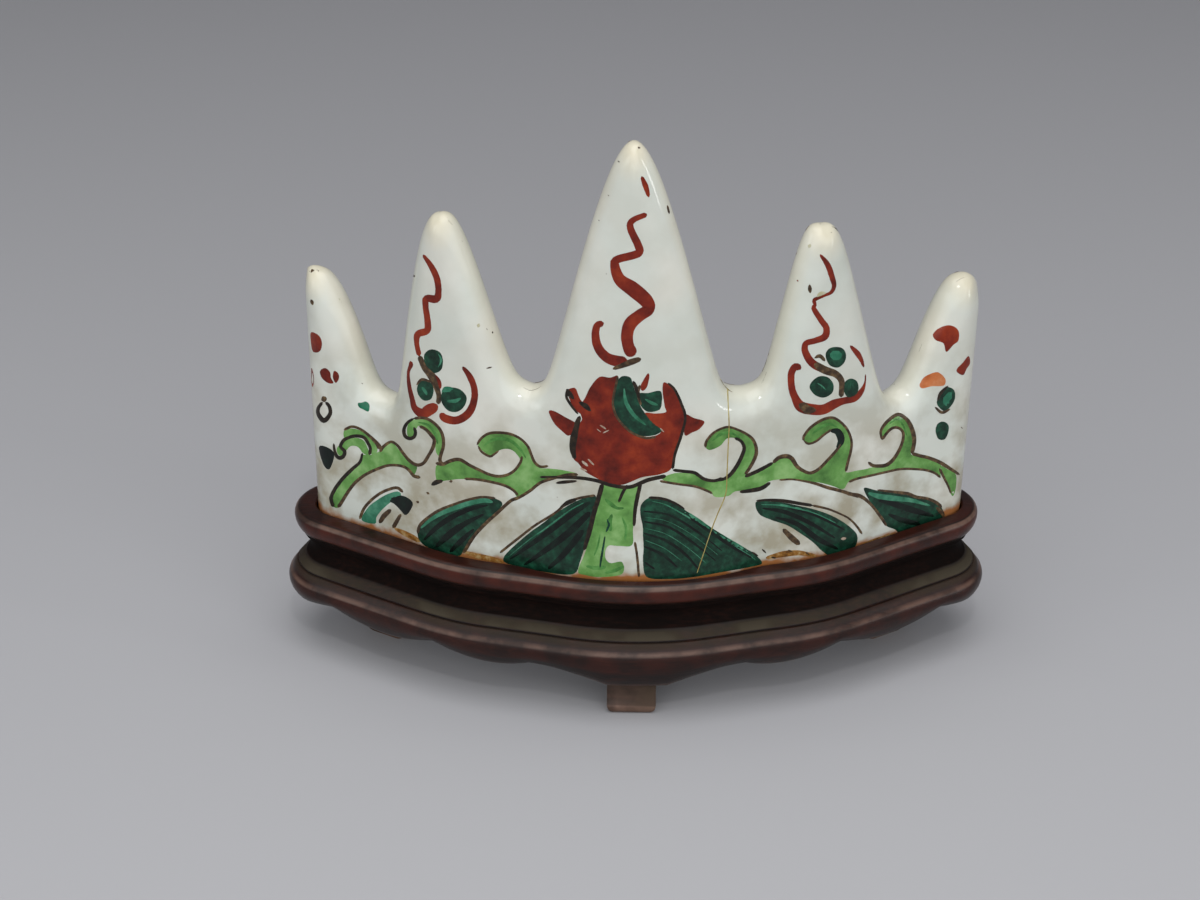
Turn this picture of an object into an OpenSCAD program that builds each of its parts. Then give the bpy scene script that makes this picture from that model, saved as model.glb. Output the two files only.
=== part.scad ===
// Brush rest: a porcelain mountain with five peaks on a fitted hardwood stand.
// The origin is on the table, under the middle of the stand. Z is up, the front faces -Y.

/* [Plan] */
// Radius of the middle line where the front swells
bend_mid_r = 40; // [30:1:60]
// Degrees turned by that bend, each side of the middle
bend_mid_deg = 14; // [8:1:18]
// Straight run after the middle bend
run_mid = 14; // [10:0.5:20]
// Radius of the middle line where the wings turn back
bend_side_r = 33; // [25:1:50]
// Degrees turned by the wing bend
bend_side_deg = 17; // [10:1:22]
// Straight run from the wing bend to the round end
run_end = 21; // [16:0.5:28]

/* [Porcelain body] */
// Half thickness of the foot under the wings
foot_half = 4.6; // [4:0.1:5]
// How much thicker each face is under the middle peak
mid_swell = 1.2; // [0:0.1:1.2]
// How far the body and its recess lie to the right of the middle
seat_shift = 0.5; // [-0.5:0.1:0.5]
// Share of its thickness that the body loses from foot to highest tip
face_taper = 0.42; // [0.2:0.01:0.5]
// Rounding of every edge of the body
edge_round = 4.4; // [3:0.1:5]
// Height of the middle peak above the table
mid_peak_z = 101.3; // [90:0.1:110]
// Height of the two inner peaks
inner_peak_z = 85.1; // [76:0.1:90]
// Height of the two end peaks
end_peak_z = 69.2; // [64:0.1:74]
// How much higher the left peaks came out than these heights, and the right peaks lower
left_rise = 0.6; // [0:0.1:1]
// Distance of the inner peaks from the middle peak along the body
inner_peak_s = 30.9; // [29:0.1:33]
// How far the tips of the end peaks stand past the straight part of the wings
end_peak_out = 2.3; // [1:0.1:3]
// How far the three middle peaks stand to the left of the middle
peak_shift = 1.5; // [0:0.1:2]
// Height of the brush saddles beside the middle peak
inner_saddle_z = 56.7; // [52:0.1:60]
// Height of the brush saddles beside the end peaks
outer_saddle_z = 49.7; // [46:0.1:54]
// Softness of the curve from the inner saddles to the flanks
inner_saddle_round = 5.5; // [2:0.5:7]
// Softness of the curve from the outer saddles to the flanks
outer_saddle_round = 4; // [2:0.5:7]
// How far the left end leans outwards at its tip
left_lean = 0.7; // [0:0.1:2]
// How far the right end leans outwards at its tip
right_lean = 1.7; // [0:0.1:2]
// Depth of the hollow under the foot
foot_hollow = 1.8; // [1:0.1:3]
// Width of the bare foot ring round that hollow
foot_ring = 2.4; // [1.6:0.1:3]

/* [Stand tray] */
// Height of the stand's rim
rim_z = 26; // [24:0.2:30]
// Depth of the recess that the body stands in
seat_depth = 3; // [2:0.1:4]
// Gap between the body and the recess wall
seat_clear = 0.3; // [0.2:0.05:0.5]
// Half width over the rim's bead
bead_half = 8.2; // [7.8:0.1:9]
// Half width of the waist
waist_half = 5.6; // [5.2:0.1:6.2]
// Radius of the hollow that makes the waist
waist_cove = 2.5; // [2:0.1:2.8]
// Half width of the flange under the waist
flange_half = 8; // [7.6:0.1:8.4]
// Height of the joint between the two tiers
joint_z = 14.9; // [14:0.1:15.6]

/* [Stand base] */
// Half width over the base's belly
belly_half = 9.8; // [9.4:0.1:11]
// Height of the base board's underside
board_z = 10.4; // [9.8:0.1:11]
// Thickness of the apron at its lower edge
apron_wall = 2.1; // [1.6:0.1:2.6]
// Distance along the middle line to the first cusp
cusp_near_s = 16.3; // [14:0.1:18]
// Distance along the middle line to the second cusp
cusp_mid_s = 31.2; // [28:0.1:33]
// Distance along the middle line to the last cusp
cusp_far_s = 51; // [48:0.1:53]
// Radius of the apron's sweep down to the front foot
spandrel_r = 29; // [24:1:40]

/* [Feet and dowels] */
// Width of a foot
foot_w = 8.2; // [6:0.1:10]
// Depth of a foot from its face under the apron to its back
foot_depth = 4.6; // [3.6:0.1:5]
// How far the toe stands out past that face
toe_out = 0.8; // [0:0.1:1.4]
// Height of the toe's upper edge
toe_z = 1.4; // [1:0.1:2.4]
// Rounding of the toe's lower corners
toe_round = 1.8; // [0.8:0.1:2.4]
// Where the front foot stands, from the middle to the right
front_foot_s = -0.8; // [-2:0.1:2]
// Where the rear feet stand along the middle line
rear_foot_s = 48; // [44:0.5:50]
// Diameter of a foot's tenon
tenon_d = 2.6; // [2:0.1:3]
// Length of a foot's tenon
tenon_l = 2.6; // [2:0.1:3]
// Diameter of the dowels between the tiers
dowel_d = 2.4; // [1.6:0.1:3]
// Length of the dowels between the tiers
dowel_l = 5.6; // [4:0.2:6]
// Where the side dowels stand along the middle line
dowel_s = 38; // [30:1:42]
// Glue gap round a tenon or dowel
glue_gap = 0.1; // [0.05:0.05:0.2]

/* [Hidden] */
$fn = 48;

// The middle line's right half: bends as [radius, degrees], straight runs as [0, length]
path = [[bend_mid_r, bend_mid_deg], [0, run_mid], [bend_side_r, bend_side_deg], [0, run_end]];

function arc_len(r, deg) = r * deg * PI / 180;
function is_run(g) = g[0] == 0;
function piece_len(g) = is_run(g) ? g[1] : arc_len(g[0], g[1]);
function run_to(p, h, l) = p + l * [cos(h), sin(h)];
function bend_to(p, h, r, deg) = p + r * [sin(h + deg) - sin(h), cos(h) - cos(h + deg)];
function step_to(g, p, h) =
    is_run(g) ? [run_to(p, h, g[1]), h] : [bend_to(p, h, g[0], g[1]), h + g[1]];
function start_of(i) = i == 0 ? [[0, 0], 0] :
    let (q = start_of(i - 1)) step_to(path[i - 1], q[0], q[1]);

// Place and heading on the right half, a distance s along the middle line
function pose(s, i = 0) =
    let (g = path[i], l = piece_len(g), q = start_of(i))
    s > l && i < len(path) - 1 ? pose(s - l, i + 1) :
    is_run(g) ? [run_to(q[0], q[1], s), q[1]] :
    let (deg = s / g[0] * 180 / PI) [bend_to(q[0], q[1], g[0], deg), q[1] + deg];

cap_s = arc_len(bend_mid_r, bend_mid_deg) + run_mid + arc_len(bend_side_r, bend_side_deg) + run_end;
mid_y = -pose(cap_s)[0][1] / 2;

// A point a distance s along the middle line and n in front of it
function spot(s, n) =
    let (q = pose(abs(s)), f = q[0] + n * [sin(q[1]), -cos(q[1])])
    [(s < 0 ? -1 : 1) * f[0], f[1] + mid_y];

function arc(c, r, from, to, steps) =
    [for (k = [0:steps]) let (a = from + (to - from) * k / steps) c + r * [cos(a), sin(a)]];
function reversed(v) = [for (i = [len(v) - 1:-1:0]) v[i]];

// Unit vector from the middle line to the front at a distance s
function front_dir(s) = spot(s, 1) - spot(s, 0);

// Stations once round the outline, each [foot on the middle line, outward vector, s, side]:
// along the front, round the right end, back along the rear and round the left end.
// side is 1 on the front, -1 on the back and runs from one to the other round an end.
function round_end(side, steps) =
    [for (k = [1:steps - 1]) let (s = side * cap_s, d = front_dir(s), a = side * 180 * k / steps)
        [spot(s, 0), [d[0] * cos(a) - d[1] * sin(a), d[0] * sin(a) + d[1] * cos(a)], s,
            1 - 2 * k / steps]];
function stations(right_s, steps) =
    let (all_s = concat(reversed([for (s = right_s) if (s > 0) -s]), right_s))
    concat([for (s = all_s) [spot(s, 0), front_dir(s), s, 1]],
        round_end(1, steps),
        [for (s = reversed(all_s)) [spot(s, 0), -front_dir(s), s, -1]],
        reversed(round_end(-1, steps)));

function quad(a, b, c, d) = [[a, b, c], [a, c, d]];

// A closed solid from rings of [n, z] points, one ring for each station, lowest edge first.
// Level strips between the front and the back close it below and above.
module ringed(loop, rings, steps) {
    n = len(rings[0]);
    count = len(loop);
    points = [for (i = [0:count - 1], q = rings[i])
        let (p = loop[i][0] + q[0] * loop[i][1]) [p[0], p[1], q[1]]];
    sides = [for (i = [0:count - 1], j = [0:n - 2], f = quad(
        ring_id(i, j, n, count), ring_id(i, j + 1, n, count),
        ring_id(i + 1, j + 1, n, count), ring_id(i + 1, j, n, count))) f];
    last = (count - steps) / 2;
    below = [for (i = [-steps / 2:last - 1], f = quad(
        ring_id(i, 0, n, count), ring_id(i + 1, 0, n, count),
        ring_id(-steps - i - 1, 0, n, count), ring_id(-steps - i, 0, n, count))) if (is_face(f)) f];
    above = [for (i = [-steps / 2:last - 1], f = quad(
        ring_id(i, n - 1, n, count), ring_id(-steps - i, n - 1, n, count),
        ring_id(-steps - i - 1, n - 1, n, count), ring_id(i + 1, n - 1, n, count))) if (is_face(f)) f];
    polyhedron(points = points, faces = concat(sides, below, above), convexity = 10);
}
function ring_id(i, j, n, count) = (i + 2 * count) % count * n + j;
function is_face(f) = f[0] != f[1] && f[1] != f[2] && f[2] != f[0];

// Puts children at a distance s along the middle line, +X along it and -Y to the front
module along(s) {
    q = pose(abs(s));
    mirror([s < 0 ? 1 : 0, 0, 0]) translate([q[0][0], q[0][1] + mid_y, 0]) rotate([0, 0, q[1]]) children();
}

// Porcelain body

seat_z = rim_z - seat_depth;
body_end = cap_s + foot_half;

// How much further left the two end peaks and the two inner peaks lie than the rest
end_peak_shift = 0.7;
inner_peak_shift = peak_shift + 0.5;
// Peaks: place along the body, height, rounding of the left and right flank, slope of
// the left and right flank, bluntness
peaks = [
    [-cap_s - end_peak_out - end_peak_shift, end_peak_z + left_rise, 1.1, 1.9, 0.33, 0.21, 2.3],
    [-inner_peak_s - inner_peak_shift, inner_peak_z + left_rise, 0.7, 1.3, 0.1, 0.26, 2.5],
    [-peak_shift, mid_peak_z, 1.2, 1.3, 0.21, 0.21, 2],
    [inner_peak_s - inner_peak_shift, inner_peak_z - left_rise, 0.7, 0.9, 0.19, 0.27, 3.6],
    [cap_s + end_peak_out - end_peak_shift, end_peak_z - left_rise, 1.4, 1.1, 0.29, 0.5, 2.4]
];
// Saddles between them: height, softness
saddles = [
    [outer_saddle_z, outer_saddle_round - 0.5],
    [inner_saddle_z, inner_saddle_round],
    [inner_saddle_z, inner_saddle_round],
    [outer_saddle_z, outer_saddle_round + 0.5]
];

function blend(a, b, t) = let (u = min(1, max(0, t))) a + (b - a) * u * u * (3 - 2 * u);

// Height of a peak's flank a distance w from its tip, blunt at the tip and straight below
function flank_z(p, w) =
    let (r = w < 0 ? p[2] : p[3], m = w < 0 ? p[4] : p[5], k = p[6])
    p[1] - (pow(pow(r, k) + pow(m * abs(w), k), 1 / k) - r) / (m * m);
// The saddle between the peaks that s lies between
function saddle_at(s) =
    saddles[(s > peaks[1][0] ? 1 : 0) + (s > peaks[2][0] ? 1 : 0) + (s > peaks[3][0] ? 1 : 0)];

// Upper outline of the body, a distance s along it
function top_z(s) =
    let (saddle = saddle_at(s), a = max([for (p = peaks) flank_z(p, s - p[0])]) - saddle[0])
    saddle[0] + (a + sqrt(a * a + saddle[1] * saddle[1])) / 2;

swell_from = 11;
swell_to = 21;
// Half thickness of the foot, with its round ends
function foot_n(s) =
    let (wing = (abs(s) - swell_from) / (swell_to - swell_from),
         t = blend(foot_half + mid_swell, foot_half, wing),
         past = max(0, abs(s) - cap_s))
    past < foot_half ? t * sqrt(1 - pow(past / foot_half, 2)) : 0;

column_step = 0.8;
end_columns = 6;
rows = 12;
column_count = round(2 * cap_s / column_step);
columns = concat(
    [for (k = [0:end_columns - 1]) -body_end + foot_half * pow(k / end_columns, 2)],
    [for (k = [0:column_count]) cap_s * (2 * k / column_count - 1)],
    [for (k = [end_columns - 1:-1:0]) body_end - foot_half * pow(k / end_columns, 2)]
);
last_column = len(columns) - 1;
outline = [for (s = columns) [s, top_z(s)]];

// Distance from a point on the face to the outline, looking a few columns either way
near_columns = 9;
function segment_gap(p, a, b) =
    let (t = min(1, max(0, (p - a) * (b - a) / ((b - a) * (b - a))))) norm(p - a - t * (b - a));
function edge_gap(i, z) =
    let (p = [columns[i], z])
    min([for (k = [max(0, i - near_columns):min(last_column - 1, i + near_columns - 1)])
        segment_gap(p, outline[k], outline[k + 1])]);

// Half thickness at height z: tapered upwards and rounded towards the outline
function body_n(i, z) =
    let (t = min(1, edge_gap(i, z) / edge_round),
         lean = 1 - face_taper * (z - seat_z) / (mid_peak_z - seat_z))
    foot_n(columns[i]) * lean * sqrt(max(0, t * (2 - t)));

// The ends lean outwards, more so the higher they are
lean_from = 44;
lean_over = 14;
function leaning_s(s, z) =
    let (share = min(1, max(0, (abs(s) - lean_from) / lean_over)),
         lean = (s < 0 ? -left_lean : right_lean) * share * share)
    s + lean * (z - seat_z) / (end_peak_z - seat_z);

// Rows crowd towards the top, where the surface turns over
function row_z(i, j) = seat_z + (outline[i][1] - seat_z) * (1 - pow(1 - j / rows, 2));
function body_point(i, j, side) =
    let (z = row_z(i, j), n = i == 0 || i == last_column || j == rows ? 0 : body_n(i, z),
         p = spot(leaning_s(columns[i], z), side * n))
    [p[0], p[1], z];

front_size = (last_column + 1) * (rows + 1);
// Number of a grid point: front and back share the outline
function front_id(i, j) = i * (rows + 1) + j;
function back_id(i, j) =
    i == 0 || i == last_column || j == rows ? front_id(i, j) : front_size + (i - 1) * rows + j;

// Two triangles of a grid cell. Their shared edge is mirrored on the left half, so that no
// triangle of the front has all its corners on the outline, where the back would repeat it.
function cell(i, a, b, c, d) = i < last_column / 2 ? quad(b, c, d, a) : quad(a, b, c, d);

body_faces = concat(
    [for (i = [0:last_column - 1], j = [0:rows - 1], f = cell(i, front_id(i, j), front_id(i, j + 1),
        front_id(i + 1, j + 1), front_id(i + 1, j))) f],
    [for (i = [0:last_column - 1], j = [0:rows - 1], f = cell(i, back_id(i, j), back_id(i + 1, j),
        back_id(i + 1, j + 1), back_id(i, j + 1))) f],
    [for (i = [0:last_column - 1], f = quad(front_id(i, 0), front_id(i + 1, 0),
        back_id(i + 1, 0), back_id(i, 0))) if (is_face(f)) f]
);

module body_solid() {
    front = [for (i = [0:last_column], j = [0:rows]) body_point(i, j, 1)];
    back = [for (i = [1:last_column - 1], j = [0:rows - 1]) body_point(i, j, -1)];
    polyhedron(points = concat(front, back), faces = body_faces, convexity = 12);
}

plan_step = 2;
plan_s = concat(
    [for (s = [0:plan_step:cap_s - plan_step / 4]) s],
    [for (deg = [0:15:75]) cap_s + foot_half * sin(deg)]
);
// The foot's outline in plan, grown by a gap or shrunk by a wall
function foot_outline(grow) =
    let (stretch = (foot_half + grow) / foot_half,
         right = [for (s = plan_s) [min(s, cap_s) + max(0, s - cap_s) * stretch,
             s < cap_s ? foot_n(s) + grow : foot_n(s) * stretch]],
         all = concat([for (q = reversed(right)) [-q[0], q[1]]], [for (i = [1:len(right) - 1]) right[i]]))
    concat([for (q = all) spot(q[0], q[1])], [spot(cap_s + foot_half + grow, 0)],
        [for (q = reversed(all)) spot(q[0], -q[1])], [spot(-cap_s - foot_half - grow, 0)]);

module foot_prism(grow, from, to) {
    translate([0, 0, from]) linear_extrude(height = to - from) polygon(foot_outline(grow));
}

module mountain_body() {
    color("gainsboro") translate([seat_shift, 0, 0]) difference() {
        body_solid();
        foot_prism(-foot_ring, seat_z - 1, seat_z + foot_hollow);
    }
}

// Stand tray

round_steps = 12;

function parts(from, to, count) = [for (k = [1:count]) from + (to - from) * k / count];

// Gap from the middle line to the recess wall, which follows the body's foot
function recess_n(st) = foot_n(min(abs(st[2]), cap_s)) + seat_clear + seat_shift * st[1][0];

bead_top_r = 1.5;
bead_low_r = 3.8;
bead_z = rim_z - bead_top_r - 0.1;
cove_c = [waist_half + waist_cove, joint_z + waist_cove + 1.3];
flange_edge = 0.5;
// Outside of the tray, from the joint up over the waist to the bead under the rim
tray_side = concat(
    [[flange_half, joint_z], [flange_half, joint_z + flange_edge]],
    arc(cove_c, waist_cove, 245, 125, 6),
    arc([bead_half - bead_low_r, bead_z], bead_low_r, -48, 0, 4),
    arc([bead_half - bead_top_r, bead_z], bead_top_r, 22, 86, 3)
);
bend_mid_s = arc_len(bend_mid_r, bend_mid_deg);
tray_s = concat(
    [0],
    parts(0, bend_mid_s, 3),
    parts(bend_mid_s, bend_mid_s + run_mid, 5),
    parts(bend_mid_s + run_mid, cap_s - run_end, 4),
    [cap_s]
);

// Holes for the dowels that line up the two tiers
module dowel_holes() {
    for (s = [-dowel_s, 0, dowel_s]) along(s)
        translate([0, 0, joint_z - dowel_l / 2 - glue_gap])
            cylinder(d = dowel_d + 2 * glue_gap, h = dowel_l + 2 * glue_gap);
}

module stand_tray() {
    loop = stations(tray_s, round_steps);
    color("saddlebrown") difference() {
        ringed(loop, [for (st = loop)
            concat(tray_side, [[recess_n(st), rim_z], [recess_n(st), seat_z]])], round_steps);
        dowel_holes();
    }
}

// Stand base

belly_drop = 2.9;
belly_z = joint_z - belly_drop;
arris_z = joint_z - 1.5;
near_cusp_z = board_z - 1.1;
far_cusp_z = board_z - 0.1;
near_lobe_sag = 1.45;
far_lobe_sag = 2;
end_lobe_sag = 1.6;
back_lobe_sag = 1;

// A lobe of the apron's lower edge, hanging below the line that joins its two cusps
function lobe_z(s, s0, s1, z0, z1, sag) =
    let (t = (s - s0) / (s1 - s0)) z0 + (z1 - z0) * t - 4 * sag * t * (1 - t);

// The middle of the front apron sweeps down to the foot on an arc
function spandrel_z(s) =
    let (u = cusp_near_s - max(s, foot_w / 2))
    near_cusp_z - spandrel_r + sqrt(pow(spandrel_r, 2) - u * u);

// Way round an end from one last cusp to the other, as a share
function end_share(st) =
    let (straight = cap_s - cusp_far_s, turn = belly_half * PI,
         way = abs(st[2]) < cap_s ? abs(st[2]) - cusp_far_s : straight + turn * (1 - abs(st[3])) / 2)
    way / (2 * straight + turn);

// Lower edge of the apron all round
function apron_z(st) =
    let (s = abs(st[2]))
    s < cusp_near_s && st[3] > 0 ? spandrel_z(s) :
    s < cusp_near_s ? lobe_z(s, -cusp_near_s, cusp_near_s, near_cusp_z, near_cusp_z, back_lobe_sag) :
    s < cusp_mid_s ? lobe_z(s, cusp_near_s, cusp_mid_s, near_cusp_z, far_cusp_z, near_lobe_sag) :
    s < cusp_far_s ? lobe_z(s, cusp_mid_s, cusp_far_s, far_cusp_z, far_cusp_z, far_lobe_sag) :
    lobe_z(end_share(st), 0, 1, far_cusp_z, far_cusp_z, end_lobe_sag);

// Outside of the base as [inset from the belly, share of the way up from apron edge to belly]
// below the belly, and as [inset, height] above it
apron_inset = 1.4;
belly_low = [[apron_inset, 0], [0.7, 0.3], [0.2, 0.65]];
belly_high = [[0, belly_z], [0.15, arris_z - 0.5], [0.5, arris_z], [0.85, arris_z + 0.5],
              [apron_inset, joint_z]];
apron_draft = 0.2;
apron_in = belly_half - apron_inset - apron_wall;

function apron_ring(st) =
    let (z = apron_z(st))
    concat([[apron_in + apron_draft, board_z], [apron_in, z]],
        [for (q = belly_low) [belly_half - q[0], z + (belly_z - z) * q[1]]],
        [for (q = belly_high) [belly_half - q[0], q[1]]]);

lobe_steps = 8;
spandrel_steps = 5;
base_s = concat([0, foot_w / 2],
    parts(foot_w / 2, cusp_near_s, spandrel_steps),
    parts(cusp_near_s, cusp_mid_s, lobe_steps),
    parts(cusp_mid_s, cusp_far_s, lobe_steps),
    [cap_s]);

module stand_base() {
    loop = stations(base_s, round_steps);
    color("saddlebrown") difference() {
        ringed(loop, [for (st = loop) apron_ring(st)], round_steps);
        dowel_holes();
        for (f = feet) at_foot(f) tenon(glue_gap);
    }
}

// Feet, glued into the corner behind the apron and tenoned into the board

foot_face = apron_in - glue_gap;
foot_back = foot_face - foot_depth;
instep = 0.1;
toe_edge_r = 0.9;
// Side view of a foot, n towards the apron
foot_side = concat(
    [[foot_back, 0]],
    arc([foot_face + toe_out - toe_edge_r, toe_edge_r], toe_edge_r, -90, 0, 4),
    [[foot_face + toe_out - instep, toe_z], [foot_face, toe_z + 1.2], [foot_face - instep, toe_z + 2.5],
     [foot_face, toe_z + 4.6], [foot_face, board_z], [foot_back, board_z]]
);

// Each foot's place along the middle line and the face that it stands at: 1 front, -1 back
feet = [[front_foot_s, 1], [-rear_foot_s, -1], [rear_foot_s, -1]];

module at_foot(f) {
    along(f[0]) rotate([0, 0, f[1] > 0 ? 0 : 180]) children();
}

module tenon(grow) {
    sunk = 0.5;
    translate([0, -(foot_face + foot_back) / 2, board_z - sunk])
        cylinder(d = tenon_d + 2 * grow, h = tenon_l + sunk + grow);
}

module foot() {
    intersection() {
        translate([-foot_w / 2, 0, 0]) rotate([90, 0, 90]) linear_extrude(height = foot_w)
            polygon([for (q = foot_side) [-q[0], q[1]]]);
        rotate([90, 0, 0]) linear_extrude(height = 2 * foot_face) union() {
            translate([-foot_w / 2, toe_round]) square([foot_w, board_z]);
            translate([-foot_w / 2 + toe_round, 0]) square([foot_w - 2 * toe_round, board_z]);
            for (side = [-1, 1])
                translate([side * (foot_w / 2 - toe_round), toe_round]) circle(toe_round);
        }
    }
    tenon(0);
}

module front_foot() {
    color("sienna") at_foot(feet[0]) foot();
}

module rear_left_foot() {
    color("sienna") at_foot(feet[1]) foot();
}

module rear_right_foot() {
    color("sienna") at_foot(feet[2]) foot();
}

module tier_dowels() {
    color("burlywood") for (s = [-dowel_s, 0, dowel_s]) along(s)
        translate([0, 0, joint_z - dowel_l / 2]) cylinder(d = dowel_d, h = dowel_l);
}

mountain_body();
stand_tray();
stand_base();
front_foot();
rear_left_foot();
rear_right_foot();
tier_dowels();
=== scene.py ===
"""Brush rest: an enamelled porcelain mountain on a hardwood stand.

Shapes are worked out in millimetres on one bent middle line and go into Blender in metres.
A place on the porcelain is (s, z): the distance along the middle line and the height.
"""

import math

import bmesh
import bpy
import numpy as np
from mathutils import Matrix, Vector, geometry
from mathutils.bvhtree import BVHTree


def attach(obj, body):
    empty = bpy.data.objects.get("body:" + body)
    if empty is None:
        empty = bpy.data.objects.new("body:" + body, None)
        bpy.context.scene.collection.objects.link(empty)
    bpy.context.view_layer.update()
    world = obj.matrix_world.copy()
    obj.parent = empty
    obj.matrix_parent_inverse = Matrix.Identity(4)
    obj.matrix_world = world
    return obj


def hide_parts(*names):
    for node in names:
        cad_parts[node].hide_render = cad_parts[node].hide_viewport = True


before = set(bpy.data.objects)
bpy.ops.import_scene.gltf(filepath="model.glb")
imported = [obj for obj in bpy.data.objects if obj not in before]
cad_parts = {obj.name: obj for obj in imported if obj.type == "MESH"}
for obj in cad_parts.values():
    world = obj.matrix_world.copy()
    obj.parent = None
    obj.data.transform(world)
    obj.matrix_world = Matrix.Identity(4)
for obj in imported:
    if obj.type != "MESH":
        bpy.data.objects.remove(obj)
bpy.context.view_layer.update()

MM = 0.001

# Middle line, right half: bends as (radius, degrees) and straight runs as (0, length)
PATH = ((40, 14), (0, 14), (33, 17), (0, 21))
CAP_S = sum(math.radians(amount) * radius if radius else amount for radius, amount in PATH)

# Stand
RIM_Z = 26
SEAT_Z = 23
SEAT_CLEAR = 0.3
SEAT_SHIFT = 0.5
BEAD_HALF, BEAD_TOP_R, BEAD_LOW_R = 8.2, 1.5, 3.8
BEAD_Z = RIM_Z - BEAD_TOP_R - 0.1
WAIST_HALF, WAIST_COVE = 5.6, 2.5
FLANGE_HALF, FLANGE_EDGE = 8.0, 0.5
JOINT_Z = 14.9
BELLY_HALF, BELLY_Z = 9.8, 12.0
ARRIS_Z = 13.4
BOARD_Z = 10.4
APRON_INSET, APRON_WALL, APRON_DRAFT = 1.4, 2.1, 0.2
NEAR_CUSP_Z, FAR_CUSP_Z = 9.3, 10.3
CUSPS = (16.3, 31.2, 51.0)
NEAR_SAG, FAR_SAG, END_SAG, BACK_SAG = 1.45, 2.0, 1.6, 1.0
SPANDREL_R = 29
FOOT_W = 8.2

# Porcelain
FOOT_HALF, MID_SWELL = 4.6, 1.2
SWELL_FROM, SWELL_TO = 11, 21
FACE_TAPER, EDGE_ROUND = 0.42, 4.4
MID_PEAK_Z, INNER_PEAK_Z, END_PEAK_Z = 101.3, 85.1, 69.2
LEFT_RISE = 0.6
LEFT_LEAN, RIGHT_LEAN = 0.7, 1.7
LEAN_FROM, LEAN_OVER = 44, 14
FOOT_HOLLOW, FOOT_RING = 1.8, 2.4
BODY_END = CAP_S + FOOT_HALF
# Place along the body, height, rounding left and right, slope left and right, bluntness
PEAKS = (
    (-CAP_S - 3.0, END_PEAK_Z + LEFT_RISE, 1.1, 1.9, 0.33, 0.21, 2.3),
    (-32.9, INNER_PEAK_Z + LEFT_RISE, 0.7, 1.3, 0.1, 0.26, 2.5),
    (-1.5, MID_PEAK_Z, 1.2, 1.3, 0.21, 0.21, 2),
    (28.9, INNER_PEAK_Z - LEFT_RISE, 0.7, 0.9, 0.19, 0.27, 3.6),
    (CAP_S + 1.6, END_PEAK_Z - LEFT_RISE, 1.4, 1.1, 0.29, 0.5, 2.4),
)
# Height and softness of the saddles between the peaks
SADDLES = ((49.7, 3.5), (56.7, 5.5), (56.7, 5.5), (49.7, 4.5))

# The photograph's camera, and its pixels
CAMERA_AT = Vector((-6.183, -413.909, 280.629))
CAMERA_TILT = math.radians(60)
LENS_MM, SENSOR_MM = 86.6025, 36.0
IMAGE_W, IMAGE_H = 1200, 900
FOCAL_PX = LENS_MM / SENSOR_MM * IMAGE_W


# Middle line


def pose(s):
    """Place and heading on the right half, at distances s along the middle line."""
    x, y, heading = np.zeros_like(s), np.zeros_like(s), 0.0
    turned = np.zeros_like(s)
    left = s.copy()
    for place, (radius, amount) in enumerate(PATH):
        length = math.radians(amount) * radius if radius else amount
        part = left if place == len(PATH) - 1 else np.clip(left, 0, length)
        part = np.maximum(part, 0)
        if radius:
            angle = part / radius
            x = x + radius * (np.sin(heading + angle) - math.sin(heading))
            y = y + radius * (math.cos(heading) - np.cos(heading + angle))
            turned = turned + angle
            heading += math.radians(amount)
        else:
            x = x + part * math.cos(heading)
            y = y + part * math.sin(heading)
        left = left - length
    return x, y, turned


MID_Y = -float(pose(np.array([CAP_S]))[1][0]) / 2


def spot(s, n):
    """Points at distances s along the middle line and n in front of it."""
    s, n = np.broadcast_arrays(np.asarray(s, float), np.asarray(n, float))
    x, y, heading = pose(np.abs(s))
    side = np.where(s < 0, -1.0, 1.0)
    return np.stack([side * (x + n * np.sin(heading)), y - n * np.cos(heading) + MID_Y], -1)


# Porcelain surface


def top_z(s):
    """Upper outline of the porcelain."""
    flanks = []
    for at, height, left_r, right_r, left_m, right_m, blunt in PEAKS:
        w = s - at
        r = np.where(w < 0, left_r, right_r)
        m = np.where(w < 0, left_m, right_m)
        flanks.append(height - ((r ** blunt + (m * np.abs(w)) ** blunt) ** (1 / blunt) - r) / m ** 2)
    between = sum((s > PEAKS[k][0]).astype(int) for k in (1, 2, 3))
    saddle_z = np.array([q[0] for q in SADDLES])[between]
    soft = np.array([q[1] for q in SADDLES])[between]
    above = np.max(flanks, axis=0) - saddle_z
    return saddle_z + (above + np.sqrt(above ** 2 + soft ** 2)) / 2


def foot_n(s):
    """Half thickness of the foot, with its round ends."""
    t = np.clip((np.abs(s) - SWELL_FROM) / (SWELL_TO - SWELL_FROM), 0, 1)
    half = FOOT_HALF + MID_SWELL * (1 - t * t * (3 - 2 * t))
    past = np.clip((np.abs(s) - CAP_S) / FOOT_HALF, 0, 1)
    return half * np.sqrt(1 - past ** 2)


OUTLINE_STEPS, OUTLINE_BLOCK = 700, 4000
OUTLINE_S = np.linspace(-BODY_END, BODY_END, OUTLINE_STEPS)
OUTLINE = np.stack([OUTLINE_S, top_z(OUTLINE_S)], -1)


def edge_gap(s, z):
    """Distance from points on the face to the upper outline."""
    start, step = OUTLINE[:-1], np.diff(OUTLINE, axis=0)
    size = (step ** 2).sum(-1)
    points = np.stack([s, z], -1)
    gaps = np.empty(len(points))
    for low in range(0, len(points), OUTLINE_BLOCK):
        away = points[low:low + OUTLINE_BLOCK, None] - start
        share = np.clip((away * step).sum(-1) / size, 0, 1)
        gap = np.linalg.norm(away - share[..., None] * step, axis=-1)
        gaps[low:low + OUTLINE_BLOCK] = gap.min(-1)
    return gaps


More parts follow.
